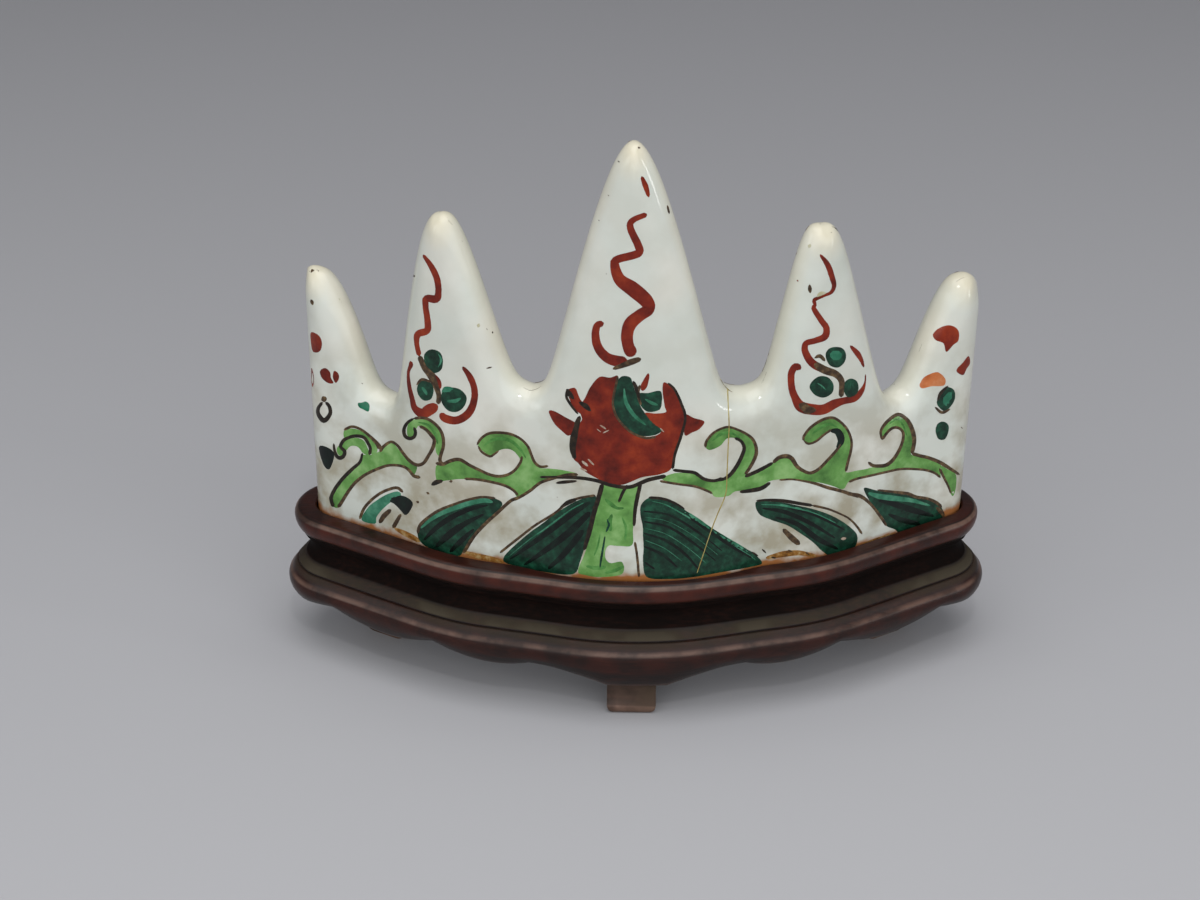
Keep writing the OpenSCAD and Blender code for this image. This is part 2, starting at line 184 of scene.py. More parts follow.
def lean_of(s, z):
    """How far the ends lean outwards at height z."""
    share = np.clip((np.abs(s) - LEAN_FROM) / LEAN_OVER, 0, 1)
    lean = np.where(s < 0, -LEFT_LEAN, RIGHT_LEAN) * share ** 2
    return lean * (z - SEAT_Z) / (END_PEAK_Z - SEAT_Z)


def skin(s, z, side):
    """Points on the porcelain: side is 1 in front, -1 behind."""
    t = np.minimum(1, edge_gap(s, z) / EDGE_ROUND)
    taper = 1 - FACE_TAPER * (z - SEAT_Z) / (MID_PEAK_Z - SEAT_Z)
    half = foot_n(s) * taper * np.sqrt(np.maximum(0, t * (2 - t)))
    plan = spot(s + lean_of(s, z), side * half)
    return np.column_stack([plan[:, 0] + SEAT_SHIFT, plan[:, 1], z])


NEAR_MM = 0.05


def skin_normal(s, z, side):
    """Outward unit normals of the porcelain."""
    along = skin(s + NEAR_MM, z, side) - skin(s - NEAR_MM, z, side)
    up = skin(s, z + NEAR_MM, side) - skin(s, z - NEAR_MM, side)
    normal = np.cross(along, up) * side
    return normal / np.maximum(np.linalg.norm(normal, axis=1, keepdims=True), 1e-9)


# Materials


def srgb(code):
    """A hex colour as linear RGBA."""
    parts = [int(code[k:k + 2], 16) / 255 for k in (1, 3, 5)]
    return [c / 12.92 if c <= 0.04045 else ((c + 0.055) / 1.055) ** 2.4 for c in parts] + [1.0]


# Numbers of the sockets that share their names with other sockets of their node
FROM_MIN, FROM_MAX, TO_MIN, TO_MAX = 1, 2, 3, 4
FACTOR, COLOUR_A, COLOUR_B, MIXED = 0, 6, 7, 2


def new_material(name):
    """A material with no nodes yet."""
    material = bpy.data.materials.new(name)
    material.use_nodes = True
    material.node_tree.nodes.clear()
    return material


def add(material, kind, inputs, out=0, stops=(), **settings):
    """Adds a node with its inputs (values or other outputs), ramp stops and settings.

    Gives one of its outputs.
    """
    tree = material.node_tree
    node = tree.nodes.new("ShaderNode" + kind)
    for key, value in settings.items():
        setattr(node, key, value)
    for k, (place, code) in enumerate(stops):
        band = node.color_ramp.elements
        element = band[k] if k < len(band) else band.new(place)
        element.position = place
        element.color = srgb(code)
    for socket, value in inputs.items():
        if isinstance(value, bpy.types.NodeSocket):
            tree.links.new(node.inputs[socket], value)
        else:
            node.inputs[socket].default_value = value
    return node.outputs[out] if len(node.outputs) else None


def per_metre(size_mm):
    """Texture scale that gives features of about this size."""
    return 1 / (size_mm * MM)


def glazed_porcelain():
    """Hard-paste porcelain under a thin felspathic glaze: grey-white with a green-blue cast,
    cream where the glaze ran thin on the tips, pitted, and burnt orange at the bare foot."""
    m = new_material("glazed_porcelain")
    place = add(m, "TexCoord", {}, "Object")
    edge, tip, height = (add(m, "Attribute", {}, "Fac", attribute_name=key)
                         for key in ("edge_mm", "tip_mm", "height_mm"))
    cloud = add(m, "TexNoise", {"Vector": place, "Scale": per_metre(16), "Detail": 2})
    colour = add(m, "ValToRGB", {"Fac": cloud},
                 stops=((0.3, "#C5CBC2"), (0.5, "#CDD1C8"), (0.7, "#D5D5CB")))
    # Cream where the glaze ran thin, on the edges and tips
    by_edge = add(m, "MapRange", {"Value": edge, FROM_MIN: 1.6, FROM_MAX: 0.0, TO_MAX: 0.35})
    by_tip = add(m, "MapRange", {"Value": tip, FROM_MIN: 5.5, FROM_MAX: 1.0, TO_MAX: 0.65})
    thin = add(m, "Math", {0: by_edge, 1: by_tip}, operation="MAXIMUM")
    # Iron pits under half a millimetre, in loose clusters and closer together on the tips
    fine = add(m, "TexNoise", {"Vector": place, "Scale": per_metre(0.5), "Detail": 1})
    loose = add(m, "TexNoise", {"Vector": place, "Scale": per_metre(5), "Detail": 1})
    near = add(m, "MapRange", {"Value": tip, FROM_MIN: 7.0, FROM_MAX: 1.0, TO_MIN: 0.81, TO_MAX: 0.73})
    cluster = add(m, "MapRange", {"Value": loose, FROM_MIN: 0.45, FROM_MAX: 0.65,
                                  TO_MIN: 0.08, TO_MAX: 0.0})
    level = add(m, "Math", {0: near, 1: cluster})
    pit = add(m, "Math", {0: fine, 1: level}, operation="SUBTRACT")
    pit_mask = add(m, "MapRange", {"Value": pit, FROM_MIN: 0.0, FROM_MAX: 0.02, TO_MAX: 0.8})
    # Soil held by the glaze, more of it low on the wall
    # Grey-olive mottling, heavier low on the wall, so the wall darkens towards the foot
    mottle = add(m, "TexNoise", {"Vector": place, "Scale": per_metre(6), "Detail": 4})
    spread_out = add(m, "MapRange", {"Value": mottle, FROM_MIN: 0.38, FROM_MAX: 0.62})
    low = add(m, "MapRange", {"Value": height, FROM_MIN: 60.0, FROM_MAX: 34.0,
                              TO_MIN: 0.12, TO_MAX: 0.85})
    darker_low_mask = add(m, "Math", {0: spread_out, 1: low}, operation="MULTIPLY")
    # The bare foot burnt orange in the kiln, up to an uneven line
    uneven = add(m, "MapRange", {"Value": mottle, FROM_MIN: 0.4, FROM_MAX: 0.65, TO_MAX: 1.5})
    above = add(m, "Math", {0: height, 1: uneven}, operation="SUBTRACT")
    burnt = add(m, "MapRange", {"Value": above, FROM_MIN: 26.5, FROM_MAX: 25.4, TO_MAX: 0.9})
    for mask, code in ((thin, "#DDD3B6"), (pit_mask, "#55483A"), (darker_low_mask, "#989078"),
                       (burnt, "#9A5A1E")):
        colour = add(m, "Mix", {FACTOR: mask, COLOUR_A: colour, COLOUR_B: srgb(code)}, MIXED,
                     data_type="RGBA")
    # Hand-built waviness of the wall, and pits sunk into the glaze
    wave = add(m, "TexNoise", {"Vector": place, "Scale": per_metre(14), "Detail": 0})
    wavy = add(m, "Bump", {"Height": wave, "Distance": 0.35 * MM})
    sunk = add(m, "Bump", {"Height": pit_mask, "Distance": 0.05 * MM, "Normal": wavy}, invert=True)
    shader = add(m, "BsdfPrincipled",
                 {"Base Color": colour, "Roughness": 0.13, "IOR": 1.5, "Normal": sunk})
    add(m, "OutputMaterial", {"Surface": shader})
    return m


def enamel(name, low, mid, high, streak_mm=2.5, roughness=0.18):
    """Overglaze enamel: translucent lead glass brushed on, so it pools darker and thins paler."""
    m = new_material(name)
    place = add(m, "TexCoord", {}, "Object")
    pools = add(m, "TexNoise", {"Vector": place, "Scale": per_metre(streak_mm), "Detail": 4,
                                "Roughness": 0.6})
    colour = add(m, "ValToRGB", {"Fac": pools}, stops=((0.32, low), (0.5, mid), (0.7, high)))
    ripple = add(m, "TexNoise", {"Vector": place, "Scale": per_metre(1.2), "Detail": 1})
    uneven = add(m, "Bump", {"Height": ripple, "Distance": 0.015 * MM})
    shader = add(m, "BsdfPrincipled",
                 {"Base Color": colour, "Roughness": roughness, "Specular IOR Level": 0.3,
                  "Normal": uneven})
    add(m, "OutputMaterial", {"Surface": shader})
    return m


def waxed_hardwood(name, dark, mid, light):
    """Stained hardwood, waxed: red-brown where it is handled, long open pores along the grain,
    rubbed arrises lightened as a painted highlight, painted shade that makes the waist near black, and
    dust on the ledge."""
    m = new_material(name)
    place = add(m, "TexCoord", {}, "Object")
    wear_and_sheen, dust, red, painted_shade = (add(m, "Attribute", {}, "Fac", attribute_name=key)
                             for key in ("wear_and_sheen", "dust", "red", "painted_shade"))
    # Grain about 0.5 mm across runs along the stand, seven times as long
    along = add(m, "Mapping", {"Vector": place, "Scale": (0.14, 1, 1)})
    grain = add(m, "TexNoise", {"Vector": along, "Scale": per_metre(0.5), "Detail": 5,
                                "Roughness": 0.65})
    cloud = add(m, "TexNoise", {"Vector": place, "Scale": per_metre(11), "Detail": 3})
    fine = add(m, "TexNoise", {"Vector": place, "Scale": per_metre(4), "Detail": 4})
    colour = add(m, "ValToRGB", {"Fac": grain}, stops=((0.3, dark), (0.52, mid), (0.75, light)))
    by_cloud = add(m, "MapRange", {"Value": cloud, FROM_MIN: 0.4, FROM_MAX: 0.62})
    shade_mask = add(m, "Math", {0: by_cloud, 1: 0.6}, operation="MULTIPLY")
    handled = add(m, "MapRange", {"Value": fine, FROM_MIN: 0.36, FROM_MAX: 0.6, TO_MIN: 0.25})
    warm_mask = add(m, "Math", {0: red, 1: handled}, operation="MULTIPLY")
    wear_and_sheen_mask = add(m, "Math", {0: wear_and_sheen, 1: handled}, operation="MULTIPLY")
    settled = add(m, "MapRange", {"Value": cloud, FROM_MIN: 0.36, FROM_MAX: 0.6, TO_MIN: 0.25})
    dust_mask = add(m, "Math", {0: dust, 1: settled}, operation="MULTIPLY")
    # Dark clouds of stain, red-brown where handled, rubbed arrises with a painted highlight, dust, and
    # painted shade in the waist, in this order
    for mask, code in ((shade_mask, dark), (warm_mask, "#45190D"), (wear_and_sheen_mask, "#745A4E"),
                       (dust_mask, "#474136"), (painted_shade, "#070504")):
        colour = add(m, "Mix", {FACTOR: mask, COLOUR_A: colour, COLOUR_B: srgb(code)}, MIXED,
                     data_type="RGBA")
    # Wax polishes the wood; dust and the painted shade of the waist dull it
    dull = add(m, "Math", {0: dust_mask, 1: painted_shade}, operation="MAXIMUM")
    polish = add(m, "MapRange", {"Value": dull, FROM_MAX: 0.6, TO_MIN: 0.33, TO_MAX: 0.85})
    gloss = add(m, "MapRange", {"Value": dull, FROM_MAX: 0.6, TO_MIN: 0.28, TO_MAX: 0.05})
    pores = add(m, "Bump", {"Height": grain, "Distance": 0.05 * MM, "Strength": 0.6})
    shader = add(m, "BsdfPrincipled", {"Base Color": colour, "Roughness": polish,
                                       "Specular IOR Level": gloss, "Normal": pores})
    add(m, "OutputMaterial", {"Surface": shader})
    return m


def bare_wood():
    """Beech dowel, turned and left raw: pale, dry and fine grained."""
    m = new_material("bare_beech")
    place = add(m, "TexCoord", {}, "Object")
    along = add(m, "Mapping", {"Vector": place, "Scale": (1, 1, 0.15)})
    grain = add(m, "TexNoise", {"Vector": along, "Scale": per_metre(0.4), "Detail": 4})
    colour = add(m, "ValToRGB", {"Fac": grain}, stops=((0.3, "#9C7650"), (0.7, "#C9A477")))
    pores = add(m, "Bump", {"Height": grain, "Distance": 0.05 * MM})
    shader = add(m, "BsdfPrincipled",
                 {"Base Color": colour, "Roughness": 0.7, "Normal": pores})
    add(m, "OutputMaterial", {"Surface": shader})
    return m


def studio_sweep():
    """Matt seamless paper under and behind the object, painted greyer towards the back as a painted
    falloff of the light.
    """
    m = new_material("studio_paper")
    place = add(m, "TexCoord", {}, "Object")
    apart = add(m, "SeparateXYZ", {"Vector": place}, "Y")
    # Painted falloff of the light: the paper's colour darkens from front to back
    back = add(m, "MapRange", {"Value": apart, FROM_MIN: -0.1, FROM_MAX: 0.32})
    tone = add(m, "ValToRGB", {"Fac": back}, stops=((0.0, "#B4B4B7"), (1.0, "#8F8F92")))
    shader = add(m, "BsdfPrincipled", {"Base Color": tone, "Roughness": 0.85})
    add(m, "OutputMaterial", {"Surface": shader})
    return m


# Meshes

WELD_M = 1e-7


def add_piece(name, points_mm, faces, material, body, values=None, smooth_deg=180,
              weld=True):
    """A closed mesh from points in millimetres, with its numbers at each point; it rides on a body."""
    mesh = bpy.data.meshes.new(name)
    mesh.from_pydata((np.asarray(points_mm) * MM).tolist(), [], faces)
    mark(mesh, values or {})
    tidy = bmesh.new()
    tidy.from_mesh(mesh)
    if weld:
        bmesh.ops.remove_doubles(tidy, verts=tidy.verts, dist=WELD_M)
        bmesh.ops.dissolve_degenerate(tidy, edges=tidy.edges, dist=WELD_M)
    if tidy.calc_volume(signed=True) < 0:
        bmesh.ops.reverse_faces(tidy, faces=tidy.faces)
    tidy.to_mesh(mesh)
    tidy.free()
    piece = bpy.data.objects.new(name, mesh)
    bpy.context.scene.collection.objects.link(piece)
    mesh.materials.append(material)
    shade(piece, smooth_deg)
    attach(piece, body)
    return piece


def mark(mesh, values):
    """Gives a mesh named numbers, one at each point, for its material to read."""
    for key, numbers in values.items():
        layer = mesh.attributes.new(key, "FLOAT", "POINT")
        layer.data.foreach_set("value", np.asarray(numbers, float))


def only(piece):
    """Selects one piece alone."""
    bpy.ops.object.select_all(action="DESELECT")
    piece.select_set(True)
    bpy.context.view_layer.objects.active = piece


def shade(piece, smooth_deg):
    """Smooth faces, with hard edges where they meet at more than smooth_deg."""
    only(piece)
    bpy.ops.object.shade_smooth_by_angle(angle=math.radians(smooth_deg))


def grid_faces(ids):
    """Quads over a 2-D array of point numbers."""
    a, b, c, d = ids[:-1, :-1], ids[1:, :-1], ids[1:, 1:], ids[:-1, 1:]
    return [tuple(int(k) for k in q) for q in np.stack([a, b, c, d], -1).reshape(-1, 4)]


def arc(centre, r, start, end, steps):
    """Points along an arc between two angles in degrees."""
    angles = np.radians(np.linspace(start, end, steps + 1))
    return [(centre[0] + r * math.cos(a), centre[1] + r * math.sin(a)) for a in angles]


# Stand


class Loop:
    """Stations once round the outline: along the front, round the right end, along the back
    and round the left end. side runs from 1 in front to -1 behind."""

    def __init__(self, right_s, steps):
        right_s = np.asarray(right_s, float)
        all_s = np.concatenate([-right_s[:0:-1], right_s])
        turn = np.arange(1, steps) / steps
        ends = np.full(steps - 1, CAP_S)
        self.s = np.concatenate([all_s, ends, all_s[::-1], -ends])
        self.side = np.concatenate([np.ones_like(all_s), 1 - 2 * turn, -np.ones_like(all_s),
                                    (1 - 2 * turn)[::-1]])
        self.foot = spot(self.s, 0.0)
        front = spot(self.s, 1.0) - self.foot
        angle = np.pi * (1 - self.side) / 2 * np.where(self.s < 0, -1, 1)
        cos, sin = np.cos(angle), np.sin(angle)
        self.out = np.stack([front[:, 0] * cos - front[:, 1] * sin,
                             front[:, 0] * sin + front[:, 1] * cos], -1)
        self.steps = steps
        self.count = len(self.s)

    def solid(self, rings):
        """Points and faces of the solid with one ring of (n, z) at each station."""
        rings = np.asarray(rings, float)
        per = rings.shape[1]
        plan = self.foot[:, None] + rings[..., :1] * self.out[:, None]
        points = np.concatenate([plan, rings[..., 1:]], -1).reshape(-1, 3)
        ids = np.arange(self.count * per).reshape(self.count, per)
        faces = grid_faces(np.vstack([ids, ids[:1]]))
        last = (self.count - self.steps) // 2
        for i in range(-self.steps // 2, last):
            a, b = i % self.count, (i + 1) % self.count
            c, d = (-self.steps - i - 1) % self.count, (-self.steps - i) % self.count
            for row, turned in ((0, False), (per - 1, True)):
                corners = list(dict.fromkeys(int(ids[k, row]) for k in (a, b, c, d)))
                if len(corners) > 2:
                    faces.append(tuple(corners if turned else corners[::-1]))
        return points, faces


def spread(*stops):
    """Distances with even steps: (from, to, count) in turn."""
    steps = [np.linspace(a, b, n, endpoint=False) for a, b, n in stops]
    return np.concatenate(steps + [[stops[-1][1]]])


ROUND_STEPS = 24
TIER_SMOOTH_DEG = 32
# Eased corners of the flange and of the recess, and how high over the joint the hollow starts
FLANGE_EASE, LIP_EASE, COVE_RISE = 0.12, 0.25, 1.3
# Arcs of the hollow and of the bead: first and last angle in degrees, and steps
COVE_ARC, BEAD_LOW_ARC, BEAD_TOP_ARC = (245, 125, 14), (-48, 0, 9), (10, 88, 8)


def tray_rings(loop):
    """Side of the tray from the joint up over the waist and bead, and down into the recess."""
    cove = (WAIST_HALF + WAIST_COVE, JOINT_Z + WAIST_COVE + COVE_RISE)
    side = [(FLANGE_HALF - FLANGE_EASE, JOINT_Z), (FLANGE_HALF, JOINT_Z + FLANGE_EASE),
            (FLANGE_HALF, JOINT_Z + FLANGE_EDGE - FLANGE_EASE),
            (FLANGE_HALF - FLANGE_EASE, JOINT_Z + FLANGE_EDGE)]
    flange_top = len(side) - 1
    side += arc(cove, WAIST_COVE, *COVE_ARC)
    waist_end = len(side) - 1
    side += arc((BEAD_HALF - BEAD_LOW_R, BEAD_Z), BEAD_LOW_R, *BEAD_LOW_ARC)
    bead_turn = len(side) - 1
    side += arc((BEAD_HALF - BEAD_TOP_R, BEAD_Z), BEAD_TOP_R, *BEAD_TOP_ARC)
    bead_top = len(side) - 1
    side = np.array(side)
    recess = foot_n(np.minimum(np.abs(loop.s), CAP_S)) + SEAT_CLEAR + SEAT_SHIFT * loop.out[:, 0]
    inner = np.stack([np.stack([recess + out, np.full(loop.count, z)], -1)
                      for out, z in ((LIP_EASE, RIM_Z), (0, RIM_Z - LIP_EASE), (0, SEAT_Z))], 1)
    rings = np.concatenate([np.broadcast_to(side, (loop.count,) + side.shape), inner], 1)
    # Painted shade making the hollow near black, rubbed bead top lightened as a painted highlight, dust
    # on the flange, red-brown where hands hold the rim
    wear_and_sheen, dust, red, painted_shade = np.zeros((4, rings.shape[1]))
    painted_shade[flange_top + 3:waist_end + 2] = 0.55
    wear_and_sheen[bead_turn + 3:bead_top - 3] = 0.7
    dust[flange_top:flange_top + 3] = 0.9, 0.7, 0.3
    red[bead_turn - 5:bead_turn + 3] = 0.9
    red[bead_top - 2:] = 0.4
    return rings, {"wear_and_sheen": wear_and_sheen, "dust": dust, "red": red, "painted_shade": painted_shade}


def lobe_z(s, s0, s1, z0, z1, sag):
    """Height of a lobe that hangs below the line between two cusps."""
    t = (s - s0) / (s1 - s0)
    return z0 + (z1 - z0) * t - 4 * sag * t * (1 - t)


def apron_z(s, side):
    """Lower edge of the apron at one station."""
    near, mid, far = CUSPS
    s = abs(s)
    if s < near and side > 0:
        u = near - max(s, FOOT_W / 2)
        return NEAR_CUSP_Z - SPANDREL_R + math.sqrt(SPANDREL_R ** 2 - u * u)
    if s < near:
        return lobe_z(s, -near, near, NEAR_CUSP_Z, NEAR_CUSP_Z, BACK_SAG)
    if s < mid:
        return lobe_z(s, near, mid, NEAR_CUSP_Z, FAR_CUSP_Z, NEAR_SAG)
    if s < far:
        return lobe_z(s, mid, far, FAR_CUSP_Z, FAR_CUSP_Z, FAR_SAG)
    straight, turn = CAP_S - far, BELLY_HALF * math.pi
    way = s - far if s < CAP_S else straight + turn * (1 - abs(side)) / 2
    return lobe_z(way / (2 * straight + turn), 0, 1, FAR_CUSP_Z, FAR_CUSP_Z, END_SAG)


def base_rings(loop):
    """Apron, belly and ledge of the base, from the board's underside round to the joint."""
    apron_in = BELLY_HALF - APRON_INSET - APRON_WALL
    # Insets from the belly's widest line: under it by shares of the way up, over it by height
    low = ((APRON_INSET + 0.15, 0), (APRON_INSET, 0.04), (1.0, 0.15), (0.7, 0.3), (0.42, 0.48),
           (0.2, 0.65), (0.06, 0.85))
    high = ((0, BELLY_Z), (0.03, BELLY_Z + 0.5), (0.15, ARRIS_Z - 0.45), (0.3, ARRIS_Z - 0.15),
            (0.5, ARRIS_Z + 0.04), (0.85, ARRIS_Z + 0.5), (1.15, ARRIS_Z + 1.0),
            (APRON_INSET, JOINT_Z - 0.1), (APRON_INSET + 0.15, JOINT_Z))
    rings = []
    for s, side in zip(loop.s, loop.side):
        z = apron_z(s, side)
        ring = [(apron_in + APRON_DRAFT, BOARD_Z), (apron_in, z + 0.1), (apron_in + 0.15, z)]
        ring += [(BELLY_HALF - inset, z + (BELLY_Z - z) * share) for inset, share in low]
        ring += [(BELLY_HALF - inset, height) for inset, height in high]
        rings.append(ring)
    # Rubbed lower edge, rubbed arris lightened as a painted highlight, dust on the ledge, red-brown
    # belly
    wear_and_sheen, dust, red, painted_shade = np.zeros((4, len(rings[0])))
    wear_and_sheen[3:5] = 0.3
    wear_and_sheen[13:15] = 0.6
    dust[16:] = 0.35
    red[8:13] = 0.35
    red[14:] = 0.2
    return rings, {"wear_and_sheen": wear_and_sheen, "dust": dust, "red": red, "painted_shade": painted_shade}


def add_tier(name, loop, make_rings, material, node):
    """One tier of the stand in place of the construction's solid."""
    rings, marks = make_rings(loop)
    points, faces = loop.solid(rings)
    values = {key: np.tile(numbers, loop.count) for key, numbers in marks.items()}
    piece = add_piece(name, points, faces, material, "stand", values, TIER_SMOOTH_DEG)
    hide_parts(node)


def add_stand(wood):
    """Both tiers, with stations at the bends and cusps, and the feet."""
    bend_mid = math.radians(PATH[0][1]) * PATH[0][0]
    straight_end = bend_mid + PATH[1][1]
    wing_start = CAP_S - PATH[3][1]
    tray_s = spread((0, bend_mid, 10), (bend_mid, straight_end, 10), (straight_end, wing_start, 10),
                    (wing_start, CAP_S, 6))
    add_tier("tray", Loop(tray_s, ROUND_STEPS), tray_rings, wood, "stand_tray")
    near, mid, far = CUSPS
    base_s = spread((0, FOOT_W / 2, 2), (FOOT_W / 2, near, 14), (near, mid, 18), (mid, far, 22),
                    (far, CAP_S, 4))
    add_tier("base", Loop(base_s, ROUND_STEPS), base_rings, wood, "stand_base")
    for node in ("front_foot", "rear_left_foot", "rear_right_foot"):
        add_foot(node, wood)


FOOT_WORN_TO, FOOT_DUSTY_TO = 1.6, 8
FOOT_ARRIS, FOOT_ARRIS_STEPS, FOOT_ARRIS_DEG = 0.25, 3, 40
FOOT_WELD_M, FOOT_FLAT_DEG, FOOT_SMOOTH_DEG = 1e-6, 1, 35


def add_foot(node, wood):
    """A foot with eased arrises, made from the construction's own solid."""
    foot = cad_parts[node].copy()
    foot.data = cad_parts[node].data.copy()
    foot.name = node + "_eased"
    foot.data.materials.clear()
    foot.data.materials.append(wood)
    bpy.context.scene.collection.objects.link(foot)
    only(foot)
    bpy.ops.object.mode_set(mode="EDIT")
    bpy.ops.mesh.select_all(action="SELECT")
    bpy.ops.mesh.remove_doubles(threshold=FOOT_WELD_M)
    bpy.ops.mesh.dissolve_limited(angle_limit=math.radians(FOOT_FLAT_DEG))
    bpy.ops.object.mode_set(mode="OBJECT")
    ease = foot.modifiers.new("ease", "BEVEL")
    ease.width = FOOT_ARRIS * MM
    ease.segments = FOOT_ARRIS_STEPS
    ease.limit_method = "ANGLE"
    ease.angle_limit = math.radians(FOOT_ARRIS_DEG)
    bpy.ops.object.modifier_apply(modifier="ease")
    shade(foot, FOOT_SMOOTH_DEG)
    heights = np.empty(len(foot.data.vertices) * 3)
    foot.data.vertices.foreach_get("co", heights)
    heights = heights[2::3] / MM
    mark(foot.data, {"wear_and_sheen": np.where(heights < FOOT_WORN_TO, 1.0, 0.45),
                     "dust": np.where(heights < FOOT_DUSTY_TO, 0.5, 0),
                     "red": np.zeros_like(heights), "painted_shade": np.zeros_like(heights)})
    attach(foot, "stand")
    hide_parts(node)


# Porcelain body

COLUMN_STEP = 0.42
END_COLUMNS = 14
ROWS = 46
# What the foot's underside gives as its distance from edges and tips
FAR_OFF_MM = 20.0


def body_grid():
    """Columns along the body, and s, z and side of every point of the front.

    The rows lie closer together near the top; side is 0 on the ridge, where front and back meet.
    """
    k = np.arange(END_COLUMNS) / END_COLUMNS
    ends = BODY_END - FOOT_HALF * k ** 2
    middle = np.linspace(-CAP_S, CAP_S, int(round(2 * CAP_S / COLUMN_STEP)) + 1)
    columns = np.concatenate([-ends, middle, ends[::-1]])
    j = np.arange(ROWS + 1) / ROWS
    top = np.minimum(top_z(columns), MID_PEAK_Z + 0.1)
    heights = SEAT_Z + (top - SEAT_Z)[:, None] * (1 - (1 - j) ** 2)
    side = np.ones(heights.shape)
    side[:, -1] = 0
    return columns, np.repeat(columns, ROWS + 1), heights.ravel(), side.ravel()


def add_mountain(material):
    """The porcelain body with its hollowed foot."""
    columns, s, z, side = body_grid()
    count = len(columns)
    front, back = skin(s, z, side), skin(s, z, -side)
    ids = np.arange(count * (ROWS + 1)).reshape(count, ROWS + 1)
    size = ids.size
    faces = grid_faces(ids) + grid_faces(ids[::-1] + size)
    # Under the foot: a bare ring round a hollow, as three strips and a ceiling
    past = np.maximum(0, np.abs(columns) - CAP_S)
    shrink = (FOOT_HALF - FOOT_RING) / FOOT_HALF
    inner = np.where(past > 0, foot_n(CAP_S) * shrink * np.sqrt(
        np.maximum(0, 1 - (past / (FOOT_HALF - FOOT_RING)) ** 2)), foot_n(columns) - FOOT_RING)
    low = np.full(count, float(SEAT_Z))
    hollow = low + np.where(inner > 0, FOOT_HOLLOW, 0)
    rows = [np.column_stack([spot(columns, turn * inner) + [SEAT_SHIFT, 0], height])
            for turn, height in ((1, low), (1, hollow), (-1, hollow), (-1, low))]
    first = 2 * size
    chain = [ids[:, 0]] + [first + k * count + np.arange(count) for k in range(4)] + [ids[:, 0] + size]
    faces += grid_faces(np.stack(chain[::-1], 1))
    points = np.vstack([front, back] + rows)
    gap = edge_gap(s, z)
    tips = np.array([p[:2] for p in PEAKS])
    tip = np.hypot(s[:, None] - tips[:, 0], z[:, None] - tips[:, 1]).min(1)
    under = np.full(4 * count, FAR_OFF_MM)
    values = {"edge_mm": np.concatenate([gap, gap, under]),
              "tip_mm": np.concatenate([tip, tip, under]),
              "height_mm": points[:, 2]}
    piece = add_piece("mountain", points, faces, material, "mountain", values)
    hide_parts("mountain_body")


# Painting: places are pixels of the photograph, laid on the porcelain in front and repeated
# behind, where the photograph doesn't look

STEP_PX = 2.0
BED_MM = 0.08
EDGE_MARGIN = 0.25
SEARCH_PX, SEARCH_WAYS = 15, 8
LINE_STEPS, LINE_PAST, BLOCK = 4001, 3, 2000
LEAN_PASSES = 3


class Canvas:
    """The front of the porcelain as the camera sees it."""

    def __init__(self):
        columns, s, z, side = body_grid()
        ids = np.arange(s.size).reshape(len(columns), ROWS + 1)
        self.tree = BVHTree.FromPolygons(skin(s, z, side).tolist(), grid_faces(ids))
        self.line_s = np.linspace(-BODY_END - LINE_PAST, BODY_END + LINE_PAST, LINE_STEPS)
        self.line = spot(self.line_s, 0.0)
        self.tilt = (math.cos(CAMERA_TILT), math.sin(CAMERA_TILT))

    def hit(self, u, v):
        """The porcelain under a pixel of the photograph, or under the nearest one that meets it."""
        cos, sin = self.tilt
        for reach in range(SEARCH_PX):
            for turn in range(SEARCH_WAYS if reach else 1):
                angle = turn * 2 * math.pi / SEARCH_WAYS
                x = (u + reach * math.cos(angle) - IMAGE_W / 2) / FOCAL_PX
                y = (IMAGE_H / 2 - v - reach * math.sin(angle)) / FOCAL_PX
                ray = Vector((x, y * cos + sin, y * sin - cos)).normalized()
                found = self.tree.ray_cast(CAMERA_AT, ray)[0]
                if found is not None:
                    return found
        raise ValueError(f"no porcelain near pixel {u:.0f}, {v:.0f}")

    def place(self, pixels):
        """(s, z) on the porcelain where pixels of the photograph lie."""
        hits = np.array([self.hit(u, v) for u, v in pixels])
        plan = hits[:, :2] - [SEAT_SHIFT, 0]
        leaned = np.empty(len(hits))
        for low in range(0, len(hits), BLOCK):
            away = ((plan[low:low + BLOCK, None] - self.line) ** 2).sum(-1)
            leaned[low:low + BLOCK] = self.line_s[away.argmin(-1)]
        z = hits[:, 2]
        s = leaned
        for _ in range(LEAN_PASSES):
            s = leaned - lean_of(s, z)
        return s, z


def behind(s):
    """The same place on the back, as one sees it from behind: the painting starts again at the
    left, and each motif lies under its own kind of peak."""
    at = np.array([p[0] for p in PEAKS])
    turned = np.interp(-s, -at[::-1], at)
    past_left, past_right = np.maximum(-s + at[0], 0), np.maximum(s - at[-1], 0)
    return turned + past_left - past_right


def spline(points, closed=False):
    """Even steps along a smooth curve through the points (rows of any width)."""
    p = np.asarray(points, float)
    if closed:
        p = np.vstack([p[-1], p, p[0], p[1]])
    else:
        p = np.vstack([2 * p[0] - p[1], p, 2 * p[-1] - p[-2]])
    out = []
    for a, b, c, d in zip(p, p[1:], p[2:], p[3:]):
        steps = max(1, int(math.ceil(np.linalg.norm((c - b)[:2]) / STEP_PX)))
        t = (np.arange(steps) / steps)[:, None]
        out.append(0.5 * (2 * b + (c - a) * t + (2 * a - 5 * b + 4 * c - d) * t ** 2
                          + (3 * b - a - 3 * c + d) * t ** 3))
    return np.vstack(out if closed else out + [p[-2][None]])


# Section of a stroke: places across it and their lifts
CROSS = np.array([-1, -0.6, 0, 0.6, 1])
CROSS_LIFT = np.array([0.3, 0.85, 1, 0.85, 0.3])
TIP_SHARE = 0.3
THIN_PX = 0.4


